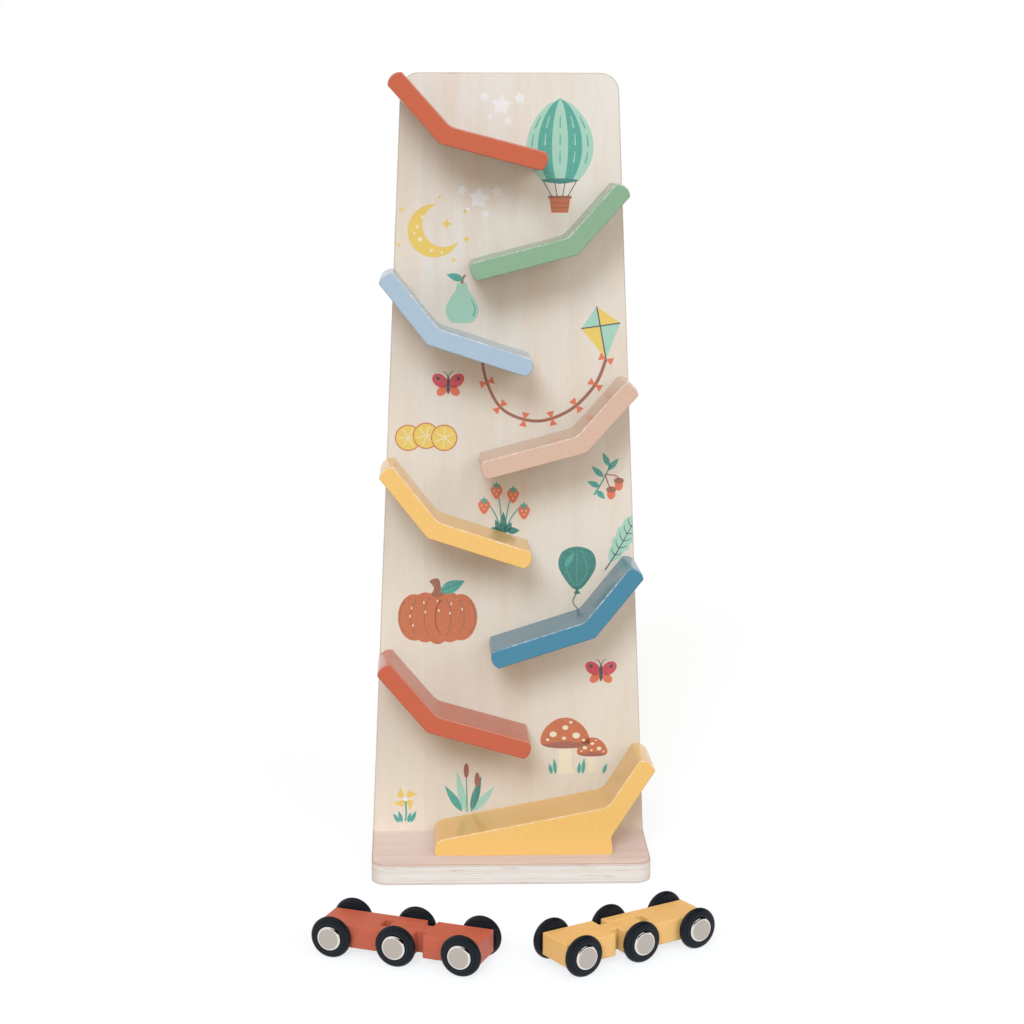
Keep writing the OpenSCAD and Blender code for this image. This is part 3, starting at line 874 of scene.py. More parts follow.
class RampRule(GrowGroup):
    """The group that draws a bent ramp from its sizes.

    The outline runs round the low end, over the bend, round the high end and under the heel.
    """

    END_POINTS = 17
    CORNER_POINTS = 10

    def __init__(self) -> None:
        """Fills the outline, gives it its depth and puts the ramp in its place."""
        super().__init__(
            "bent_ramp", Gentle=float, Steep=float, Bend=float, Thickness=float, Depth=float, Kink=float, Heel=float,
            Bulge=float, Place=tuple, Turn=tuple, Material=Material
        )
        size = self.inputs
        face = self.add("GeometryNodeFillCurve", {"Curve": self.outline()}, mode="NGONS")[0]
        block = self.add("GeometryNodeExtrudeMesh", {
            "Mesh": face, "Offset Scale": size["Depth"], "Individual": False
        }, mode="FACES")[0]
        rear = self.add("GeometryNodeFlipFaces", {"Mesh": face})[0]
        shell = self.add("GeometryNodeJoinGeometry", {"Geometry": [block, rear]})[0]
        whole = self.add("GeometryNodeMergeByDistance", {"Geometry": shell, "Distance": WELD})[0]
        self.close(self.add("GeometryNodeTransform", {
            "Geometry": whole, "Rotation": size["Turn"], "Translation": size["Place"]
        })[0])

    def outline(self) -> Socket:
        """Draws the closed outline and rounds its corners.

        Returns:
            The socket with the curve.
        """
        size = self.inputs
        back = self.add("ShaderNodeMath", {0: size["Bend"], 1: -1.0}, operation="MULTIPLY")[0]
        turn = self.add("ShaderNodeCombineXYZ", {"Z": back})[0]
        high_end = self.add("GeometryNodeTransform", {"Geometry": self.end(size["Steep"], -1.0), "Rotation": turn})[0]
        slope = self.add("ShaderNodeMath", {0: size["Bend"], 1: 2.0}, operation="DIVIDE")[0]
        rise = self.add("ShaderNodeMath", {0: slope}, operation="TANGENT")[0]
        inward = self.add("ShaderNodeMath", {0: rise, 1: size["Thickness"]}, operation="MULTIPLY")[0]
        kink = self.add("ShaderNodeCombineXYZ", {"X": inward, "Y": size["Thickness"]})[0]
        parts = [
            self.spots(self.end(size["Gentle"], 1.0)), self.corner(kink, size["Kink"]), self.spots(high_end),
            self.corner((0.0, 0.0, 0.0), size["Heel"])
        ]
        loop = self.add("GeometryNodeJoinGeometry", {"Geometry": parts})[0]
        curve = self.add("GeometryNodePointsToCurves", {"Points": loop})[0]
        ring = self.add("GeometryNodeSetSplineCyclic", {"Geometry": curve, "Cyclic": True})[0]
        radius = self.add("GeometryNodeInputRadius")[0]
        return self.add("GeometryNodeFilletCurve", {
            "Curve": ring, "Radius": radius, "Count": self.CORNER_POINTS
        }, mode="POLY")[0]

    def end(self, length: Socket, away: float) -> Socket:
        """Draws the curved end of an arm that points along X.

        Args:
            length: The arm's length.
            away: One from the low to the high corner, or minus one for an arm that points back.

        Returns:
            The socket with the arc.
        """
        size = self.inputs
        half = self.add("ShaderNodeMath", {0: size["Thickness"], 1: 2.0}, operation="DIVIDE")[0]
        reach = self.add("ShaderNodeMath", {0: length, 1: away}, operation="MULTIPLY")[0]
        tip = self.add("ShaderNodeMath", {0: size["Bulge"], 1: away, 2: reach}, operation="MULTIPLY_ADD")[0]
        low = self.add("ShaderNodeCombineXYZ", {"X": reach})[0]
        middle = self.add("ShaderNodeCombineXYZ", {"X": tip, "Y": half})[0]
        high = self.add("ShaderNodeCombineXYZ", {"X": reach, "Y": size["Thickness"]})[0]
        first, last = (low, high) if away > 0 else (high, low)
        return self.add("GeometryNodeCurveArc", {
            "Start": first, "Middle": middle, "End": last, "Resolution": self.END_POINTS
        }, mode="POINTS")[0]

    def corner(self, spot: Socket | tuple[float, ...], radius: Socket) -> Socket:
        """Puts one corner point that holds the radius of its rounding."""
        return self.add("GeometryNodePoints", {"Count": 1, "Position": spot, "Radius": radius})[0]

    def spots(self, curve: Socket) -> Socket:
        """Turns an arc into points that aren't rounded again."""
        flat = self.add("GeometryNodeCurveToPoints", {"Curve": curve}, mode="EVALUATED")[0]
        return self.add("GeometryNodeSetPointRadius", {"Points": flat, "Radius": 0.0})[0]


@dataclass
class Ramps:
    """Seven bent ramps on the board, drawn by one rule, and the wedge ramp on the base."""

    board: Board
    thickness: float = 13.3
    depth: float = 56.0
    gentle: float = 72.0
    steep: float = 54.0
    bend_deg: float = 33.4
    kink_r: float = 12.0
    heel_r: float = 5.0
    bulge: float = 3.1
    ease: float = 0.9
    ease_steps: int = 3
    # Which upper front bevel faces get the pale painted highlight, and how strong it is on each paint
    highlit_edge: tuple[float, float] = (0.5, 0.97)
    highlit_edge_rise: float = 0.2
    highlight_share: float = 0.65
    brick_highlight_share: float = 0.22
    sides: tuple[int, ...] = (-1, 1, -1, 1, -1, 1, -1)
    side_shares: tuple[float, ...] = (0.629, 0.553, 0.695, 0.598, 0.657, 0.637, 0.624)
    height_shares: tuple[float, ...] = (0.9085, 0.7707, 0.6573, 0.5193, 0.4103, 0.2796, 0.1566)
    tilts_deg: tuple[float, ...] = (14.5, 14.6, 18.0, 14.9, 18.0, 17.6, 15.9)

    PAINTS = ("brick", "green", "sky", "nude", "amber", "teal", "brick", "amber")
    COLOURS = {
        "brick": "#ca6141", "green": "#8aae8e", "sky": "#abc0d2",
        "nude": "#dab6a0", "amber": "#f5c472", "teal": "#4485a0"
    }

    def placement(self, index: int) -> Matrix:
        """Gives the transform from a ramp's own outline, in metres, to the row frame.

        Args:
            index: The ramp's number from the top, from zero.

        Returns:
            The transform. A ramp whose heel is at the right is turned over, which mirrors it.
        """
        side, share, height = self.sides[index], self.side_shares[index], self.height_shares[index]
        heel = Vector((side * share * self.board.half_width(height), height * self.board.height, 0)) * MM
        tilt = Matrix.Rotation(math.radians(side * self.tilts_deg[index]), 4, "Z")
        over = Matrix.Translation((0, 0, self.depth * MM)) @ Matrix.Rotation(math.pi, 4, "Y")
        return self.board.matrix() @ Matrix.Translation(heel) @ tilt @ (over if side > 0 else Matrix.Identity(4))

    def round_front(self, piece: Piece) -> None:
        """Eases the rim of a ramp's front face.

        Args:
            piece: The ramp.
        """
        back = self.board.matrix().inverted()
        form = bmesh.new()
        form.from_mesh(piece.data)
        front = {v for v in form.verts if (back @ v.co).z > self.depth * MM - WELD}
        rim = [e for e in form.edges if front.issuperset(e.verts)]
        bmesh.ops.bevel(
            form, geom=rim, offset=self.ease * MM, segments=self.ease_steps, profile=0.5, affect="EDGES", material=-1
        )
        form.to_mesh(piece.data)
        form.free()

    def paints(self) -> dict[str, tuple[Material, ...]]:
        """Makes the six paints, each as a whole coat and as one with a painted edge highlight. The brick's highlight
        is faintest.

        Returns:
            Both materials by the paint's name.
        """
        coats = {}
        for name, code in self.COLOURS.items():
            share = self.brick_highlight_share if name == "brick" else self.highlight_share
            highlit_edge = WornHighlightPaint(f"rubbed_{name}", code, most_share=share)
            coats[name] = (SatinPaint(f"satin_{name}", code).build(), highlit_edge.build())
        return coats

    def highlight_edges(self, piece: Piece, coats: tuple[Material, ...]) -> None:
        """Gives a ramp the whole coat, and its upper front edges the one with painted highlight.

        Args:
            piece: The ramp.
            coats: The whole coat and the one with painted highlight.
        """
        piece.data.materials.clear()
        for coat in coats:
            piece.data.materials.append(coat)
        # Bevel faces that look both up and out get the pale painted highlight
        out = self.board.matrix().to_3x3() @ Vector((0, 0, 1))
        for polygon in piece.data.polygons:
            front = polygon.normal.dot(out)
            upper = polygon.normal.z > self.highlit_edge_rise
            polygon.material_index = int(upper and self.highlit_edge[0] < front < self.highlit_edge[1])

    def build(self) -> None:
        """Builds the eight ramps and hands them over."""
        rule, paints = RampRule(), self.paints()
        for index in range(len(self.sides)):
            place = self.placement(index)
            paint = self.PAINTS[index]
            number = index + 1
            piece = rule.run(
                f"bent_ramp_{number}", bpy.data.meshes.new(f"ramp_{number}_seed"),
                Gentle=self.gentle * MM, Steep=self.steep * MM, Bend=math.radians(self.bend_deg),
                Thickness=self.thickness * MM, Depth=self.depth * MM, Kink=self.kink_r * MM, Heel=self.heel_r * MM,
                Bulge=self.bulge * MM, Place=tuple(place.to_translation()), Turn=tuple(place.to_euler()),
                Material=paints[paint][0]
            )
            self.round_front(piece)
            self.highlight_edges(piece, paints[paint])
            soften(piece)
            hand_over(piece, "track", f"paint_{paint}", f"ramp_{number}")
        wedge = merged_copy("ramp_8", "wedge_ramp")
        self.highlight_edges(wedge, paints[self.PAINTS[-1]])
        soften(wedge)
        hand_over(wedge, "track", f"paint_{self.PAINTS[-1]}", "ramp_8")


def ellipse(at: Point, rx: float, ry: float, turn_deg: float = 0.0, steps: int = 30) -> Outline:
    """Draws an ellipse about a point.

    Args:
        at: Its middle.
        rx: Its half length.
        ry: Its half width.
        turn_deg: How far it is turned.
        steps: The number of its points.

    Returns:
        A closed outline.
    """
    c, s = math.cos(math.radians(turn_deg)), math.sin(math.radians(turn_deg))
    ring = [(rx * math.cos(a), ry * math.sin(a)) for a in (2 * math.pi * i / steps for i in range(steps))]
    return [(at[0] + x * c - y * s, at[1] + x * s + y * c) for x, y in ring]


def flow(points: Sequence[Point], closed: bool = True, steps: int = 6) -> Outline:
    """Draws a smooth line through given points.

    Args:
        points: The points.
        closed: True for a loop, False for a line with two ends.
        steps: The number of points in each stretch.

    Returns:
        The points of the line.
    """
    n = len(points)
    get = (lambda i: points[i % n]) if closed else (lambda i: points[min(max(i, 0), n - 1)])
    line = []
    for i in range(n if closed else n - 1):
        p = [Vector(get(i + k)) for k in (-1, 0, 1, 2)]
        for t in (k / steps for k in range(steps)):
            spot = p[1] * 2 + (p[2] - p[0]) * t
            spot += (p[0] * 2 - p[1] * 5 + p[2] * 4 - p[3]) * t ** 2 + (p[1] * 3 - p[0] - p[2] * 3 + p[3]) * t ** 3
            line.append(tuple(spot / 2))
    return line if closed else line + [tuple(points[-1])]


def stroke(points: Sequence[Point], width: float, tip: float | None = None) -> Outline:
    """Draws a brush stroke along a smooth line.

    Args:
        points: The line's points.
        width: Its width at the start.
        tip: Its width at the end, if that differs.

    Returns:
        A closed outline.
    """
    line = [Vector(p) for p in flow(points, closed=False)]
    last = len(line) - 1
    sides: tuple[Outline, Outline] = ([], [])
    for i, spot in enumerate(line):
        ahead = (line[min(i + 1, last)] - line[max(i - 1, 0)]).normalized()
        half = (width + ((width if tip is None else tip) - width) * i / last) / 2
        sides[0].append(tuple(spot + Vector((ahead.y, -ahead.x)) * half))
        sides[1].append(tuple(spot - Vector((ahead.y, -ahead.x)) * half))
    return sides[0] + sides[1][::-1]


def leaf(base: Point, tip: Point, width: float, steps: int = 9) -> Outline:
    """Draws a pointed leaf.

    Args:
        base: Where it starts.
        tip: Where it ends.
        width: Its widest measure.
        steps: The number of points on each side.

    Returns:
        A closed outline.
    """
    start, end = Vector(base), Vector(tip)
    across = Vector((start.y - end.y, end.x - start.x)).normalized() * width / 2
    bow = [(k / steps, math.sin(math.pi * (k / steps) ** 0.8)) for k in range(1, steps)]
    there = [start.lerp(end, t) + across * w for t, w in bow]
    return [tuple(p) for p in [start, *(start.lerp(end, t) - across * w for t, w in bow), end, *there[::-1]]]


def star(at: Point, r: float, points: int = 5, inner: float = 0.5, turn_deg: float = 90.0) -> Outline:
    """Draws a star with its inner radius as a share of the outer one, and its first point in that direction."""
    spots = ((r * (inner if k % 2 else 1.0), math.radians(turn_deg) + math.pi * k / points) for k in range(2 * points))
    return [(at[0] + q * math.cos(a), at[1] + q * math.sin(a)) for q, a in spots]


def crescent(at: Point, r: float, bite: Point, bite_r: float, steps: int = 28) -> Outline:
    """Draws a disc with a round bite taken out of its side.

    Args:
        at: The disc's middle.
        r: Its radius.
        bite: The bite's middle.
        bite_r: The bite's radius.
        steps: The number of stretches in each of the two arcs.

    Returns:
        A closed outline.
    """
    away = math.hypot(bite[0] - at[0], bite[1] - at[1])
    toward = math.atan2(bite[1] - at[1], bite[0] - at[0])
    outer = math.acos((r ** 2 + away ** 2 - bite_r ** 2) / (2 * r * away))
    inner = math.acos((r ** 2 - away ** 2 - bite_r ** 2) / (2 * bite_r * away))
    out = (toward + outer + (2 * math.pi - 2 * outer) * k / steps for k in range(steps + 1))
    back = (toward - inner - (2 * math.pi - 2 * inner) * k / steps for k in range(1, steps))
    rim = [(at[0] + r * math.cos(t), at[1] + r * math.sin(t)) for t in out]
    return rim + [(bite[0] + bite_r * math.cos(t), bite[1] + bite_r * math.sin(t)) for t in back]


@dataclass(frozen=True)
class Shape:
    """One flat printed shape: its ink, its outline and how many inks lie under it."""

    ink: Ink
    outline: Outline
    layer: int = 0


@dataclass
class Garden:
    """The printed picture on the board: a garden and its sky, drawn as thin closed films of ink.

    Each motif is drawn about its own middle, in millimetres, and shapes() puts it on the board.
    """

    TAIL = ((70, 349), (62, 330), (44, 312), (20, 304), (-4, 312), (-16, 332), (-20, 352))

    board: Board
    film: float = 0.05
    film_step: float = 0.03
    margin: float = 0.6
    bow: float = 3.4
    bow_gap: float = 19.0

    def moon(self) -> Iterable[Shape]:
        """Draws a crescent moon with pale craters and small stars round it.

        Returns:
            Its shapes.
        """
        yield Shape(Ink.YELLOW, crescent((0, 0), 19, (7, 4), 15.5))
        for dx, dy, r in (
            (-12, 3, 1.2), (-10, -6, 1.6), (-2, -14, 1.2), (-14, -1.5, 0.8), (-8.5, 10, 1.1), (5.5, -15.5, 0.9)
        ):
            yield Shape(Ink.CREAM, ellipse((dx, dy), r, r), 1)
        for dx, dy, r in (
            (9, 5, 4.2), (22, 14, 2.4), (23, -6, 3), (-23, 15, 2.6), (-25, -10, 2), (14, -21, 2.2), (4, 24, 2)
        ):
            yield Shape(Ink.YELLOW, star((dx, dy), r, 4, 0.36))

    def white_stars(self) -> Iterable[Shape]:
        """Draws a cluster of soft white stars."""
        stars = ((0, 0, 8, 84), (13, 5, 4.6, 100), (-12, 6, 4, 70), (5, -11, 3.2, 92), (-8, -8, 2.2, 90))
        yield from (Shape(Ink.WHITE, star((dx, dy), r, 5, 0.56, turn)) for dx, dy, r, turn in stars)

    def kite(self) -> Iterable[Shape]:
        """Draws a kite with four panels, whose tail hangs from its lowest corner.

        Returns:
            Its shapes.
        """
        top, low, left, right, middle = (-3, 17), (4, -21), (-14, 1), (14, 5), (-0.5, 3)
        for ink, far, near in (
            (Ink.MINT, top, left), (Ink.YELLOW, top, right), (Ink.YELLOW, low, left), (Ink.MINT, low, right)
        ):
            yield Shape(ink, [far, near, middle])
        yield Shape(Ink.NAVY, stroke((top, low), 0.9), 1)
        yield Shape(Ink.NAVY, stroke((left, right), 0.9), 1)

    def pear(self) -> Iterable[Shape]:
        """Draws a pear with a stem and a leaf.

        Returns:
            Its shapes.
        """
        half = [(0, -13), (8, -12), (12, -4), (9, 4), (5, 10), (3.4, 15), (0, 16.5)]
        yield Shape(Ink.MINT, flow(half + [(-p, q) for p, q in half[-2:0:-1]]))
        yield Shape(Ink.TEAL, stroke(((8, -8), (9.4, -3), (6.6, 4)), 1.2, 0.4), 1)
        yield Shape(Ink.BROWN, stroke(((0, 15.5), (0.6, 19), (2.4, 21.5)), 1.8, 1.2), 1)
        yield Shape(Ink.TEAL, leaf((1, 18), (-11, 22), 5.4), 2)

    def butterfly(self) -> Iterable[Shape]:
        """Draws a butterfly with spotted wings.

        Returns:
            Its shapes.
        """
        for side in (-1, 1):
            yield Shape(Ink.CRIMSON, ellipse((side * 6, 3.4), 6.2, 4.4, side * 38))
            yield Shape(Ink.CORAL, ellipse((side * 4.6, -4), 4.2, 3.1, side * -40))
            yield Shape(Ink.NAVY, ellipse((side * 7.4, 5), 1.5, 1.2, side * 38), 1)
            yield Shape(Ink.NAVY, stroke(((0, 5.6), (side * 1.6, 9), (side * 3.6, 10)), 0.7, 0.4), 1)
        yield Shape(Ink.NAVY, ellipse((0, 0), 1.3, 6.4), 2)

    def acorns(self) -> Iterable[Shape]:
        """Draws two acorns on a twig with leaves.

        Returns:
            Its shapes.
        """
        yield Shape(Ink.TEAL, stroke(((-10, -12), (-4, -2), (2, 10)), 1.4, 0.9))
        for dx, dy, ex, ey in ((-6, -6, -15, -2), (-3, 1, -12, 9), (0, 6, 8, 15), (1, 9, -4, 19), (-8, -9, -2, -15)):
            yield Shape(Ink.TEAL, leaf((dx, dy), (ex, ey), 4.2))
        for dx, dy in ((8, -2), (2.5, -8.5)):
            yield Shape(Ink.CORAL, ellipse((dx, dy - 2.6), 3.1, 4.3))
            yield Shape(Ink.BROWN, ellipse((dx, dy + 0.4), 3.7, 2.2), 1)
            yield Shape(Ink.BROWN, stroke(((dx, dy + 1), (dx - 2, dy + 4), (-2, 3)), 0.8), 1)

    def balloon(self) -> Iterable[Shape]:
        """Draws a toy balloon on a string.

        Returns:
            Its shapes.
        """
        rim = ((0, 16), (11, 12), (13.5, 1), (6, -12), (0, -16), (-6, -12), (-13.5, 1), (-11, 12))
        yield Shape(Ink.PINE, flow(rim))
        yield Shape(Ink.PINE, [(0, -14.5), (2.6, -19), (-2.6, -19)])
        yield Shape(Ink.TEAL, leaf((-9, 1), (-2, 12), 4), 1)
        for dx in (-5, 0, 5):
            yield Shape(Ink.TEAL, stroke(((dx * 0.3, -13), (dx * 1.5, -1), (dx * 0.6, 13)), 0.5), 2)
        yield Shape(Ink.NAVY, stroke(((0, -18), (-3, -25), (1, -32), (-3, -40)), 0.8, 0.5), 1)

    def feather(self) -> Iterable[Shape]:
        """Draws an upright feather with a dark quill and barbs.

        Returns:
            Its shapes.
        """
        lobes = [(0, -20), (5, -13), (4.2, -10), (7, -5), (6, -2), (7.4, 4), (6, 7), (6.2, 13), (3, 18), (0, 22)]
        yield Shape(Ink.MINT, flow(lobes + [(-p, q) for p, q in lobes[-2:0:-1]], steps=4))
        yield Shape(Ink.NAVY, stroke(((0, -27), (0.8, -8), (0, 17)), 1, 0.4), 1)
        for q in (-14, -8, -2, 4, 10):
            for side in (-1, 1):
                yield Shape(Ink.NAVY, stroke(((0.3, q), (side * 3, q + 2), (side * 4.6, q + 4.6)), 0.7, 0.3), 1)

    def reeds(self) -> Iterable[Shape]:
        """Draws cattails between broad blades.

        Returns:
            Its shapes.
        """
        for dx, lean, tall, ink in (
            (-8, -9, 20, Ink.TEAL), (-4, -4, 31, Ink.MINT), (5, 5, 27, Ink.PINE), (8, 12, 19, Ink.MINT)
        ):
            yield Shape(ink, leaf((dx * 0.5, -12), (dx + lean, tall - 12), 5.6))
        for dx, top in ((-1, 20), (7, 13)):
            yield Shape(Ink.TEAL, stroke(((dx * 0.4, -12), (dx, top)), 1.1, 0.8), 1)
            yield Shape(Ink.BROWN, ellipse((dx, top - 1), 1.9, 5.6), 2)

    def mushrooms(self) -> Iterable[Shape]:
        """Draws a tall and a short spotted mushroom in the grass.

        Returns:
            Its shapes.
        """
        for cx, cy, size in ((-4, 0, 1.0), (16, -8, 0.62)):
            def at(p: float, q: float, cx: float = cx, cy: float = cy, size: float = size) -> Point:
                """Scales a point of the tall mushroom."""
                return cx + p * size, cy + q * size

            yield Shape(Ink.CREAM, flow((at(-4, 0), at(-4.6, -16), at(-6, -23), at(6, -23), at(4.6, -16), at(4, 0))))
            yield Shape(Ink.RUST, flow((
                at(-18, -1), at(-16, 9), at(-7, 17), at(4, 18), at(14, 11), at(18, 0), at(9, -4), at(-9, -4)
            )), 1)
            yield Shape(Ink.BROWN, flow((at(-16, -2), at(0, 0.6), at(16, -2), at(8, -4.4), at(-8, -4.4))), 2)
            for p, q, r in (
                (-9, 6, 2.6), (0, 11, 2.2), (8, 5, 2.8), (-1, 3, 1.5), (-13, 2, 1.2), (13.5, 1.5, 1.2), (4, 15, 1.2)
            ):
                yield Shape(Ink.CREAM, ellipse(at(p, q), r * size, r * size * 0.8), 3)
        for dx, tall in ((-14, 8), (-11, 12), (6, 9), (9, 12), (24, 8)):
            yield Shape(Ink.TEAL, leaf((dx, -24), (dx * 1.12, tall - 24), 2.8), 4)

    def hot_air_balloon(self) -> Iterable[Shape]:
        """Draws a striped hot-air balloon with a basket.

        Returns:
            Its shapes.
        """
        wide, rows, low, high = 24.0, 14, -26.0, 32.0

        def edge(share: float, k: int) -> Point:
            """Gives a point on a seam.

            Args:
                share: The seam's place across, from -1 to 1.
                k: The point's row.

            Returns:
                The point.
            """
            t = k / rows
            half = wide * math.sin(math.pi * (0.13 + 0.87 * t)) ** 0.62 if k < rows else 0.0
            return share * half, low + (high - low) * t - 3.4 * share * share * (1 - t) * t

        cuts = (-1.0, -0.66, -0.24, 0.24, 0.66, 1.0)
        for n, (a, b) in enumerate(zip(cuts, cuts[1:])):
            gore = [edge(a, k) for k in range(rows + 1)] + [edge(b, k) for k in range(rows - 1, -1, -1)]
            yield Shape(Ink.TEAL if n % 2 else Ink.MINT, gore)
            for k in (3, 6, 9):
                m = (a + b) / 2
                dash = stroke((edge(m, k), edge(m, k + 1), edge(m, k + 2)), 1.0, 0.6)
                yield Shape(Ink.MINT if n % 2 else Ink.TEAL, dash, 1)
        yield Shape(Ink.PINE, flow((edge(-1, 0), (0, low - 2.4), edge(1, 0), (0, low + 1.4))), 2)
        for share in (-0.9, -0.3, 0.3, 0.9):
            yield Shape(Ink.NAVY, stroke((edge(share, 0), (share * 6, low - 12)), 0.6), 1)
        yield Shape(Ink.RUST, [(-7.5, low - 12), (-6, low - 23), (6, low - 23), (7.5, low - 12)])
        yield Shape(Ink.BROWN, stroke(((-8.4, low - 12), (8.4, low - 12)), 2), 1)
        for dy in (-16, -19.5):
            yield Shape(Ink.BROWN, stroke(((-6.6, low + dy), (6.6, low + dy)), 0.7), 1)

    def lemons(self) -> Iterable[Shape]:
        """Draws three lemon slices that overlap.

        Returns:
            Its shapes.
        """
        for n, dx in enumerate((-13, 0, 13)):
            at = (dx, 1.5 if n == 1 else 0)
            yield Shape(Ink.RUST, ellipse(at, 9.6, 9.6), 3 * n)
            yield Shape(Ink.YELLOW, ellipse(at, 8.8, 8.8), 3 * n + 1)
            for k in range(6):
                a = math.radians(60 * k + 12 * n)
                tip = (at[0] + 7.2 * math.cos(a), at[1] + 7.2 * math.sin(a))
                yield Shape(Ink.CREAM, stroke((at, tip), 0.8, 0.5), 3 * n + 2)

    def pumpkin(self) -> Iterable[Shape]:
        """Draws a pumpkin with lobes, a stem and a curled leaf.

        Returns:
            Its shapes.
        """
        for n, (dx, rx) in enumerate(((-17, 12), (17, 12), (-9, 12), (9, 12), (0, 11))):
            yield Shape(Ink.RUST, ellipse((dx, 0), rx, 20 - abs(dx) * 0.16), n)
            for side in (-1, 1):
                curve = [
                    (dx + side * (rx - 1.2) * math.cos(a), (18 - abs(dx) * 0.16) * math.sin(a))
                    for a in (math.radians(v) for v in (-52, -20, 20, 52))
                ]
                yield Shape(Ink.BROWN, stroke(curve, 0.5, 0.9), n + 1)
        yield Shape(Ink.BROWN, flow(((-4, 16), (-2.6, 22), (-5.6, 27), (0.6, 28.6), (2.6, 22), (4.4, 16))), 6)
        yield Shape(Ink.TEAL, leaf((2, 19), (20, 27), 9), 7)
        yield Shape(Ink.PINE, stroke(((3, 19.6), (11, 23.4), (18, 26)), 0.8, 0.4), 8)
        for dx, dy in ((-19, 7), (-20, 1), (-10, 11), (-9, 4), (0, 12), (1, 5), (10, 10), (18, 6), (-18, -6), (9, 3)):
            yield Shape(Ink.CREAM, ellipse((dx, dy), 0.5, 1.1), 7)

    def strawberries(self) -> Iterable[Shape]:
        """Draws a strawberry plant with four berries.

        Returns:
            Its shapes.
        """
        berries = ((-14, 4), (-5, 15), (7, 12), (15, 0))
        for dx, dy in berries:
            yield Shape(Ink.TEAL, stroke(((0, -20), (dx * 0.4, dy * 0.3 - 4), (dx, dy + 6)), 1.2, 0.8))
        for dx, dy in ((-11, -13), (-6, -6), (6, -8), (12, -14), (0, 0)):
            yield Shape(Ink.PINE, leaf((dx * 0.2, abs(dy) * 0.2 - 17), (dx, dy), 5), 1)
        for dx, dy in berries:
            rim = ((0, -6), (4.2, 0), (2.6, 4), (-2.6, 4), (-4.2, 0))
            yield Shape(Ink.CORAL, flow([(dx + p, dy + q) for p, q in rim]), 2)
            yield Shape(Ink.TEAL, star((dx, dy + 4), 3.4, 5, 0.4), 3)
            for p, q in ((-1.6, 0.4), (1.6, 0.6), (0, -2.2)):
                yield Shape(Ink.CREAM, ellipse((dx + p, dy + q), 0.4, 0.7), 3)

    def pinwheel(self) -> Iterable[Shape]:
        """Draws a pinwheel on a stick in the grass.

        Returns:
            Its shapes.
        """
        yield Shape(Ink.TEAL, stroke(((0, 0), (0.6, -10), (0, -17)), 1.4, 1.1))
        for k in range(4):
            a, b = math.radians(90 * k + 20), math.radians(90 * k + 74)
            far, side = (9.6 * math.cos(a), 9.6 * math.sin(a)), (6.6 * math.cos(b), 6.6 * math.sin(b))
            yield Shape(Ink.YELLOW, [(0, 0), far, side], 1)
        yield Shape(Ink.WHITE, ellipse((0, 0), 1.8, 1.8), 2)
        for dx, tall in ((-9, 7), (-5, 9), (4, 8), (8, 9)):
            yield Shape(Ink.TEAL, leaf((dx * 0.5, -18), (dx, tall - 18), 3), 1)

    def tail(self) -> Iterable[Shape]:
        """Draws the kite's long tail, straight in board coordinates, where the bows follow it."""
        yield Shape(Ink.BROWN, stroke(self.TAIL, 2.4, 2.0))

    def shapes(self) -> Iterable[Shape]:
        """Gives every shape of the picture in board coordinates.

        Returns:
            The shapes, one motif after the other.
        """
        places = (
            (self.hot_air_balloon, 36, 503, 0), (self.white_stars, -6, 530, 0), (self.white_stars, -22, 464, 0),
            (self.moon, -54, 441, 0), (self.pear, -34, 388, 0), (self.kite, 66, 370, 0), (self.tail, 0, 0, 0),
            (self.lemons, -60, 292, 0), (self.butterfly, -44, 330, 0), (self.acorns, 72, 262, 0),
            (self.feather, 84, 218, -30), (self.strawberries, -4, 238, 0), (self.balloon, 50, 196, 0),
            (self.pumpkin, -52, 160, 0), (self.butterfly, 68, 118, 0), (self.mushrooms, 46, 66, 0),
            (self.reeds, -30, 26, 0), (self.pinwheel, -76, 24, 0)
        )
        for motif, x, y, turn_deg in places:
            c, s = math.cos(math.radians(turn_deg)), math.sin(math.radians(turn_deg))
            for shape in motif():
                yield replace(shape, outline=[(x + p * c - q * s, y + p * s + q * c) for p, q in shape.outline])

    def trimmed(self, outline: Outline) -> Outline:
        """Cuts an outline off where the board's sides are.

        Args:
            outline: A closed outline.

        Returns:
            The part that lies on the board.
        """
        for side in (-1, 1):
            kept = []
            past = [side * x - self.board.half_width(y / self.board.height) + self.margin for x, y in outline]
            ahead = zip(outline[1:] + outline[:1], past[1:] + past[:1])
            for (a, over_a), (b, over_b) in zip(zip(outline, past), ahead):
                if over_a <= 0:
                    kept.append(a)
                if over_a * over_b < 0:
                    t = over_a / (over_a - over_b)
                    kept.append((a[0] + (b[0] - a[0]) * t, a[1] + (b[1] - a[1]) * t))
            outline = kept
        return outline

    def film_of(self, shape: Shape) -> tuple[list[Vector], list[tuple[int, ...]]]:
        """Makes one shape's closed film on the board's face.

        Args:
            shape: The printed shape.

        Returns:
            Its corners in the row frame and its faces, which point outwards.
        """
        place = self.board.matrix()
        outline = [Vector(p) for p in self.trimmed(shape.outline)]
        area = sum(a.x * b.y - a.y * b.x for a, b in zip(outline, outline[1:] + outline[:1]))
        if area < 0:
            outline.reverse()
        n = len(outline)
        top = self.film + shape.layer * self.film_step
        corners = [place @ (Vector((p.x, p.y, z)) * MM) for z in (0.0, top) for p in outline]
        faces = []
        for a, b, c in tessellate_polygon([[Vector((p.x, p.y, 0)) for p in outline]]):
            turn = (outline[b] - outline[a]).cross(outline[c] - outline[a])
            a, b, c = (a, b, c) if turn > 0 else (a, c, b)
            faces += [(c, b, a), (a + n, b + n, c + n)]
        faces += [(i, (i + 1) % n, (i + 1) % n + n, i + n) for i in range(n)]
        return corners, faces

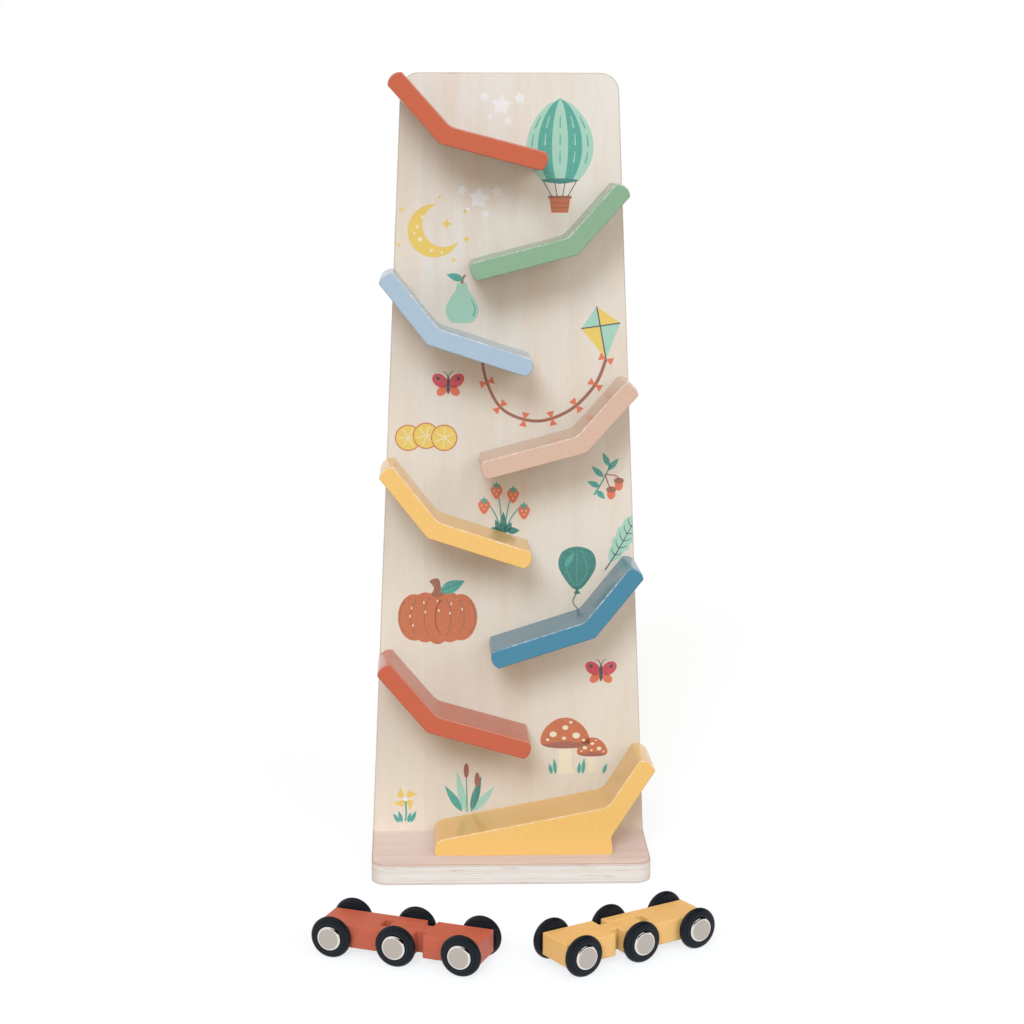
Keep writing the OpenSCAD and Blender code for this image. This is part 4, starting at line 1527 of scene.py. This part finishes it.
    def build(self) -> None:
        """Builds one piece for each ink and hands it over."""
        films: dict[Ink, list[Shape]] = {}
        for shape in self.shapes():
            if len(self.trimmed(shape.outline)) > 2:
                films.setdefault(shape.ink, []).append(shape)
        for ink, shapes in films.items():
            corners: list[Vector] = []
            faces: list[tuple[int, ...]] = []
            for shape in shapes:
                spots, sides = self.film_of(shape)
                faces += [tuple(i + len(corners) for i in side) for side in sides]
                corners += spots
            mesh = bpy.data.meshes.new(f"print_{ink.name.lower()}")
            mesh.from_pydata(corners, [], faces)
            mesh.materials.append(PrintInk(mesh.name, ink).build())
            hand_over(new_object(mesh.name, mesh), "track")
        self.tie_bows()

    def tie_bows(self) -> None:
        """Ties bows along the kite's tail."""
        line = flow(self.TAIL, closed=False)
        mesh = bpy.data.meshes.new("tail")
        mesh.from_pydata([(x * MM, y * MM, 0) for x, y in line], [(i, i + 1) for i in range(len(line) - 1)], [])
        place = self.board.matrix()
        bows = self.bows().run(
            "print_tail_bows", mesh, Gap=self.bow_gap * MM, Size=self.bow * MM, Film=(self.film + self.film_step) * MM,
            Place=tuple(place.to_translation()), Turn=tuple(place.to_euler()),
            Material=PrintInk("print_coral", Ink.CORAL).build()
        )
        hand_over(bows, "track")

    def bows(self) -> GrowGroup:
        """Makes the group that sets flat bows across a line at even gaps.

        Returns:
            The group, with its sizes as named inputs.
        """
        group = GrowGroup("tail_bows", Gap=float, Size=float, Film=float, Place=tuple, Turn=tuple, Material=Material)
        size = group.inputs
        line = group.add("GeometryNodeMeshToCurve", {"Mesh": size["Geometry"]})[0]
        even = group.add("GeometryNodeResampleCurve", {"Curve": line, "Length": size["Gap"]}, mode="LENGTH")[0]
        wing = group.add("GeometryNodeMeshCylinder", {"Vertices": 3, "Radius": size["Size"], "Depth": size["Film"]})[0]
        back = group.add("ShaderNodeMath", {0: size["Size"], 1: -1.0}, operation="MULTIPLY")[0]
        lift = group.add("ShaderNodeMath", {0: size["Film"], 1: 0.5}, operation="MULTIPLY")[0]
        aside = group.add("ShaderNodeCombineXYZ", {"X": back, "Z": lift})[0]
        left = group.add("GeometryNodeTransform", {"Geometry": wing, "Translation": aside})[0]
        right = group.add("GeometryNodeTransform", {"Geometry": left, "Rotation": (0.0, 0.0, math.pi)})[0]
        pair = group.add("GeometryNodeJoinGeometry", {"Geometry": [left, right]})[0]
        ahead = group.add("GeometryNodeInputTangent")[0]
        turn = group.add("FunctionNodeAlignRotationToVector", {"Vector": ahead}, axis="Y")[0]
        tied = group.add("GeometryNodeInstanceOnPoints", {"Points": even, "Instance": pair, "Rotation": turn})[0]
        group.close(group.add("GeometryNodeTransform", {
            "Geometry": tied, "Rotation": size["Turn"], "Translation": size["Place"]
        })[0])
        return group


def eased(corners: Sequence[tuple[float, float, float]], steps: int = 4) -> Outline:
    """Draws a closed outline whose corners are rounded by given amounts.

    Args:
        corners: Each corner with the length that its rounding takes from both of its sides.
        steps: The number of stretches in each rounding.

    Returns:
        A closed outline.
    """
    line = []
    for i, (x, y, cut) in enumerate(corners):
        here = Vector((x, y))
        if not cut:
            line.append((x, y))
            continue
        before = here + (Vector(corners[i - 1][:2]) - here).normalized() * cut
        after = here + (Vector(corners[(i + 1) % len(corners)][:2]) - here).normalized() * cut
        for t in (k / steps for k in range(steps + 1)):
            line.append(tuple(before.lerp(here, t).lerp(here.lerp(after, t), t)))
    return line


def sweep(at: Point, r: float, start_deg: float, end_deg: float, steps: int) -> list[tuple[float, float, float]]:
    """Gives sharp corners along an arc, for use among those of eased."""
    turns = (math.radians(start_deg + (end_deg - start_deg) * k / steps) for k in range(steps + 1))
    return [(at[0] + r * math.cos(a), at[1] + r * math.sin(a), 0.0) for a in turns]


@dataclass(frozen=True)
class Turned:
    """A round part, drawn as an outline of radius and place along its axle, which runs along Y."""

    name: str
    outline: tuple[Point, ...]
    flat_r: float = 0.0
    steps: int = 96

    def build(self) -> Mesh:
        """Spins the outline about the axle.

        Returns:
            The closed mesh.
        """
        form = bmesh.new()
        ring = [form.verts.new((r * MM, along * MM, 0)) for r, along in self.outline]
        loop = [form.edges.new(pair) for pair in zip(ring, ring[1:] + ring[:1]) if pair[0].co.x + pair[1].co.x > WELD]
        bmesh.ops.spin(
            form, geom=ring + loop, axis=(0, 1, 0), cent=(0, 0, 0), steps=self.steps, angle=2 * math.pi,
            use_duplicate=False
        )
        bmesh.ops.remove_doubles(form, verts=form.verts, dist=WELD)
        bmesh.ops.recalc_face_normals(form, faces=form.faces)
        mesh = bpy.data.meshes.new(self.name)
        form.to_mesh(mesh)
        form.free()
        # Points outside the flat face are marked as the rim
        mark = mesh.attributes.new(CapPlate.mark, "FLOAT", "POINT")
        mark.data.foreach_set("value", [float(math.hypot(v.co.x, v.co.z) > self.flat_r * MM) for v in mesh.vertices])
        return mesh


@dataclass
class Wheelset:
    """Two tyred wheels with pressed caps, on both ends of an axle."""

    track: float = 37.2
    half: float = 3.4
    bore_r: float = 2.05
    hub_r: float = 4.2
    hub_end: float = -4.4
    flange_r: float = 10.61
    seat_r: float = 8.7
    seat: float = 2.4
    groove_at: float = 8.91
    groove_r: float = 0.45
    tyre_mid: float = 11.0
    tyre_tube: float = 3.0
    tyre_gap: float = 0.02
    ease: float = 0.2
    cap_r: float = 8.3
    cap_top: float = 5.0
    cap_rim: float = 2.5
    cap_bend: float = 1.5
    cap_sheet: float = 0.6
    cap_dome: float = 0.25
    dome_steps: int = 8
    face_slack: float = 0.01

    def tyre(self) -> Turned:
        """Draws the round rubber tyre."""
        return Turned("tyre", tuple(ellipse((self.tyre_mid, 0), self.tyre_tube, self.tyre_tube, steps=36)))

    def wheel(self) -> Turned:
        """Draws the core with its hub, the tyre's groove, the cap's seat and a ring on the inner face.

        Returns:
            The turned part.
        """
        lip_deg = math.degrees(math.acos((self.flange_r - self.tyre_mid) / self.tyre_tube))
        return Turned("wheel", tuple(eased((
            (self.bore_r, self.hub_end, 0), (self.hub_r, self.hub_end, self.ease), (self.hub_r, -self.half, 0),
            *sweep((self.groove_at, -self.half), self.groove_r, 180, 0, 8), (self.flange_r, -self.half, self.ease),
            *sweep((self.tyre_mid, 0), self.tyre_tube + self.tyre_gap, 360 - lip_deg, lip_deg, 20),
            (self.flange_r, self.half, self.ease), (self.seat_r, self.half, self.ease), (self.seat_r, self.seat, 0),
            (self.bore_r, self.seat, 0)
        ))))

    def cap(self) -> Turned:
        """Draws the pressed cap with its rolled edge and a face that is slightly domed.

        Returns:
            The turned part.
        """
        flat, inner = self.cap_r - self.cap_bend, self.cap_bend - self.cap_sheet
        steps = self.dome_steps
        dome = [(flat * k / steps, self.cap_top - self.cap_dome * (k / steps) ** 2) for k in range(steps)]
        shoulder = self.cap_top - self.cap_dome - self.cap_bend
        edge = [p[:2] for p in sweep((flat, shoulder), self.cap_bend, 90, 0, 10)]
        back = [p[:2] for p in sweep((flat, shoulder), inner, 0, 90, 6)]
        rim = [(self.cap_r, self.cap_rim), (self.cap_r - self.cap_sheet, self.cap_rim)]
        outline = tuple(dome + edge + rim + back + [(0, self.cap_top - self.cap_sheet)])
        return Turned("cap", outline, flat_r=flat + self.face_slack)

    def ends(self) -> GrowGroup:
        """Makes the group that sets a part on both ends of an axle, facing outwards.

        Returns:
            The group. Place and Turn carry the axle's middle and direction.
        """
        group = GrowGroup("axle_ends", Track=float, Place=tuple, Turn=tuple, Material=Material)
        size = group.inputs
        low = group.add("ShaderNodeMath", {0: size["Track"], 1: -0.5}, operation="MULTIPLY")[0]
        start = group.add("ShaderNodeCombineXYZ", {"Y": low})[0]
        step = group.add("ShaderNodeCombineXYZ", {"Y": size["Track"]})[0]
        spots = group.add("GeometryNodeMeshLine", {"Count": 2, "Start Location": start, "Offset": step})[0]
        index = group.add("GeometryNodeInputIndex")[0]
        over = group.add("ShaderNodeMath", {0: index, 1: -math.pi, 2: math.pi}, operation="MULTIPLY_ADD")[0]
        turn = group.add("ShaderNodeCombineXYZ", {"Z": over})[0]
        pair = group.add("GeometryNodeInstanceOnPoints", {
            "Points": spots, "Instance": size["Geometry"], "Rotation": turn
        })[0]
        group.close(group.add("GeometryNodeTransform", {
            "Geometry": pair, "Rotation": size["Turn"], "Translation": size["Place"]
        })[0])
        return group

    def build(self, car: str) -> None:
        """Builds a car's six tyres, wheels and caps and hands them over.

        Args:
            car: The car's name.
        """
        lateral = Vector(next(j["axis"] for j in frame["joints"] if j["name"] == f"{car}_fold"))
        turn = (0.0, 0.0, math.atan2(lateral.y, lateral.x) - math.pi / 2)
        ends = self.ends()
        parts = (
            (self.tyre(), Moulded("black_rubber", "#11171e", 0.4), "black_rubber"),
            (self.wheel(), Moulded("black_plastic", "#172029", 0.32), "black_plastic"),
            (self.cap(), CapPlate("satin_nickel", "#beb6ae", 0.2), "nickel")
        )
        for part, finish, slot in parts:
            mesh, material = part.build(), finish.build()
            for axle in ("front", "middle", "rear"):
                low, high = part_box(f"{car}_{axle}_axle")
                piece = ends.run(
                    f"{car}_{axle}_{part.name}s", mesh.copy(), Track=self.track * MM, Place=tuple((low + high) / 2),
                    Turn=turn, Material=material
                )
                soften(piece)
                nodes = (f"{car}_{axle}_{side}_{part.name}" for side in ("left", "right"))
                hand_over(piece, f"{car}_{axle}_wheelset", slot, *nodes)


@dataclass
class Car:
    """A painted wooden car of two blocks that fold on the middle axle."""

    name: str
    colour: str
    slot: str

    def build(self) -> None:
        """Builds both halves and the wheels and hands them over."""
        paint = SatinPaint(self.slot, self.colour, roughness=0.42, gloss=0.25, mottle_share=0.08).build()
        for half in ("fork", "tongue"):
            piece = merged_copy(f"{self.name}_{half}_body", f"{self.name}_{half}_block")
            piece.data.materials.append(paint)
            soften(piece)
            hand_over(piece, f"{self.name}_{half}", self.slot, f"{self.name}_{half}_body")
        Wheelset().build(self.name)


@dataclass
class Steelwork:
    """The axles and the screws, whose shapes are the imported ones."""

    cars: tuple[str, ...] = ("red", "yellow")

    def build(self) -> None:
        """Gives the axles and screws their zinc plate."""
        steel = Plated("zinc_steel", "#b9bcc0", 0.3).build()
        axles = [f"{car}_{axle}_axle" for car in self.cars for axle in ("front", "middle", "rear")]
        for name in ("ramp_screws", "foot_screws", *axles):
            for place in frame["nodes"][name].material_slots:
                place.material = steel
            LOG.info("%s: zinc plated", name)


@dataclass(frozen=True)
class Lamp:
    """A soft lamp: how high it stands, how far to the right, how wide it looks and its power."""

    name: str
    up_deg: float
    aside_deg: float
    wide_deg: float
    power: float


@dataclass
class Studio:
    """A white table between two softboxes, and the camera of the photograph."""

    camera_mm: tuple[float, float, float] = (-67.6, -1794.0, 642.2)
    focal_px: float = 2561.0
    frame_px: float = 1024.0
    sensor_mm: float = 36.0
    down_deg: float = 12.088
    right_deg: float = 2.198
    roll_deg: float = 0.29
    lamps: tuple[Lamp, ...] = (
        Lamp("left_softbox", 34.0, -13.0, 22.0, 1.64), Lamp("right_softbox", 30.0, 38.0, 40.0, 0.72)
    )
    lamp_colour: str = "#d9eeff"
    sky_power: float = 0.63
    sky_colour: str = "#ffe6ca"
    bounce: str = "#c8c8c8"
    floor_glow: float = 0.76
    floor_lift: tuple[float, float, float] = (1.18, 1.3, 1.43)
    ceiling: str = "#161616"
    floor_half: float = 30.0
    wall_rise: float = 0.34
    ceiling_rise: float = 0.4
    top_rise: float = 0.86
    left_reach: float = -0.45
    blend: float = 0.05

    def camera(self) -> None:
        """Sets up the camera where the photograph was taken from."""
        data = bpy.data.cameras.new("camera")
        data.sensor_width = self.sensor_mm
        data.lens = self.focal_px / self.frame_px * self.sensor_mm
        data.clip_end = 100.0
        camera = bpy.data.objects.new("camera", data)
        bpy.context.scene.collection.objects.link(camera)
        down, right = math.radians(self.down_deg), math.radians(self.right_deg)
        ahead = Vector((math.sin(right) * math.cos(down), math.cos(right) * math.cos(down), -math.sin(down)))
        across = Vector((math.cos(right), -math.sin(right), 0))
        upward = across.cross(ahead)
        c, s = math.cos(math.radians(self.roll_deg)), math.sin(math.radians(self.roll_deg))
        axes = Matrix((across * c + upward * s, upward * c - across * s, -ahead)).transposed()
        camera.matrix_world = Matrix.Translation(Vector(self.camera_mm) * MM) @ axes.to_4x4()
        bpy.context.scene.camera = camera

    def seen(self, tree: Tree) -> Socket:
        """Adds a socket that is one for rays from the camera, from a reflection or through glass.

        Args:
            tree: The node tree that gets it.

        Returns:
            The socket.
        """
        path = add_node(tree, "ShaderNodeLightPath").outputs
        both = add_node(tree, "ShaderNodeMath", {
            0: path["Is Camera Ray"], 1: path["Is Glossy Ray"]
        }, operation="MAXIMUM").outputs[0]
        return add_node(tree, "ShaderNodeMath", {
            0: both, 1: path["Is Transmission Ray"]
        }, operation="MAXIMUM").outputs[0]

    def sky(self) -> None:
        """Makes the even sky light, which looks white in itself."""
        world = bpy.data.worlds.new("studio_sky")
        bpy.context.scene.world = world
        world.use_nodes = True
        tree = world.node_tree
        tree.nodes.clear()
        light = add_node(tree, "ShaderNodeBackground", {
            "Color": linear(self.sky_colour), "Strength": self.sky_power
        }).outputs[0]
        # Walls and the panels at the left and overhead are white, and the ceiling is dark, as metal and gloss show
        way = add_node(tree, "ShaderNodeSeparateXYZ", {
            "Vector": add_node(tree, "ShaderNodeTexCoord").outputs["Generated"]
        }).outputs
        above = add_node(tree, "ShaderNodeMapRange", {
            "Value": way["Z"], "From Min": self.wall_rise, "From Max": self.ceiling_rise
        }).outputs["Result"]
        below = add_node(tree, "ShaderNodeMapRange", {
            "Value": way["Z"], "From Min": self.top_rise, "From Max": self.top_rise + self.blend, "To Min": 1.0,
            "To Max": 0.0
        }).outputs["Result"]
        band = add_node(tree, "ShaderNodeMath", {0: above, 1: below}, operation="MULTIPLY").outputs[0]
        beside = add_node(tree, "ShaderNodeMapRange", {
            "Value": way["X"], "From Min": self.left_reach, "From Max": self.left_reach + 2 * self.blend
        }).outputs["Result"]
        share = add_node(tree, "ShaderNodeMath", {0: band, 1: beside}, operation="MULTIPLY").outputs[0]
        room = add_node(tree, "ShaderNodeMix", {
            0: share, 6: (1, 1, 1, 1), 7: linear(self.ceiling)
        }, data_type="RGBA").outputs[2]
        white = add_node(tree, "ShaderNodeBackground", {"Color": room}).outputs[0]
        mixed = add_node(tree, "ShaderNodeMixShader", {0: self.seen(tree), 1: light, 2: white}).outputs[0]
        add_node(tree, "ShaderNodeOutputWorld", {"Surface": mixed})

    def light(self, lamp: Lamp) -> None:
        """Sets up one soft lamp.

        Args:
            lamp: Its place and strength.
        """
        data = bpy.data.lights.new(lamp.name, "SUN")
        data.energy = lamp.power
        data.color = linear(self.lamp_colour)[:3]
        data.angle = math.radians(lamp.wide_deg)
        softbox = bpy.data.objects.new(lamp.name, data)
        bpy.context.scene.collection.objects.link(softbox)
        # Gloss shows the bright parts of the room in the lamp's place
        softbox.visible_glossy = False
        softbox.rotation_euler = (math.radians(90 - lamp.up_deg), 0, math.radians(lamp.aside_deg))

    def floor(self) -> None:
        """Makes the white floor, which shows the toy's shadow faintly."""
        half = self.floor_half
        mesh = bpy.data.meshes.new("white_floor")
        mesh.from_pydata([(-half, -half, 0), (half, -half, 0), (half, half, 0), (-half, half, 0)], [], [(0, 1, 2, 3)])
        material = bpy.data.materials.new("white_floor")
        material.use_nodes = True
        tree = material.node_tree
        tree.nodes.clear()
        plain = add_node(tree, "ShaderNodeBsdfDiffuse", {"Color": linear(self.bounce)}).outputs[0]
        share = [(1 - self.floor_glow) * lift for lift in self.floor_lift]
        dim = add_node(tree, "ShaderNodeBsdfDiffuse", {"Color": (*share, 1)}).outputs[0]
        glow = add_node(tree, "ShaderNodeEmission", {"Color": (1, 1, 1, 1), "Strength": self.floor_glow}).outputs[0]
        shown = add_node(tree, "ShaderNodeAddShader", {0: dim, 1: glow}).outputs[0]
        mixed = add_node(tree, "ShaderNodeMixShader", {0: self.seen(tree), 1: plain, 2: shown}).outputs[0]
        add_node(tree, "ShaderNodeOutputMaterial", {"Surface": mixed})
        mesh.materials.append(material)
        new_object("white_floor", mesh)

    def build(self) -> None:
        """Sets up the camera, the lights and the floor."""
        self.camera()
        self.sky()
        for lamp in self.lamps:
            self.light(lamp)
        self.floor()
        bpy.context.scene.view_settings.view_transform = "Standard"


def main() -> None:
    """Builds the toy's sub-assemblies and the studio in order."""
    logging.basicConfig(level=logging.INFO, format="%(name)s: %(message)s")
    board = Board()
    assemblies = (
        Track(board), Ramps(board), Garden(board), Car("red", "#d26b52", "paint_brick_car"),
        Car("yellow", "#ffcc80", "paint_amber_car"), Steelwork(), Studio()
    )
    for assembly in assemblies:
        assembly.build()
        LOG.info("%s is built", type(assembly).__name__)


if __name__ == "__main__":
    main()
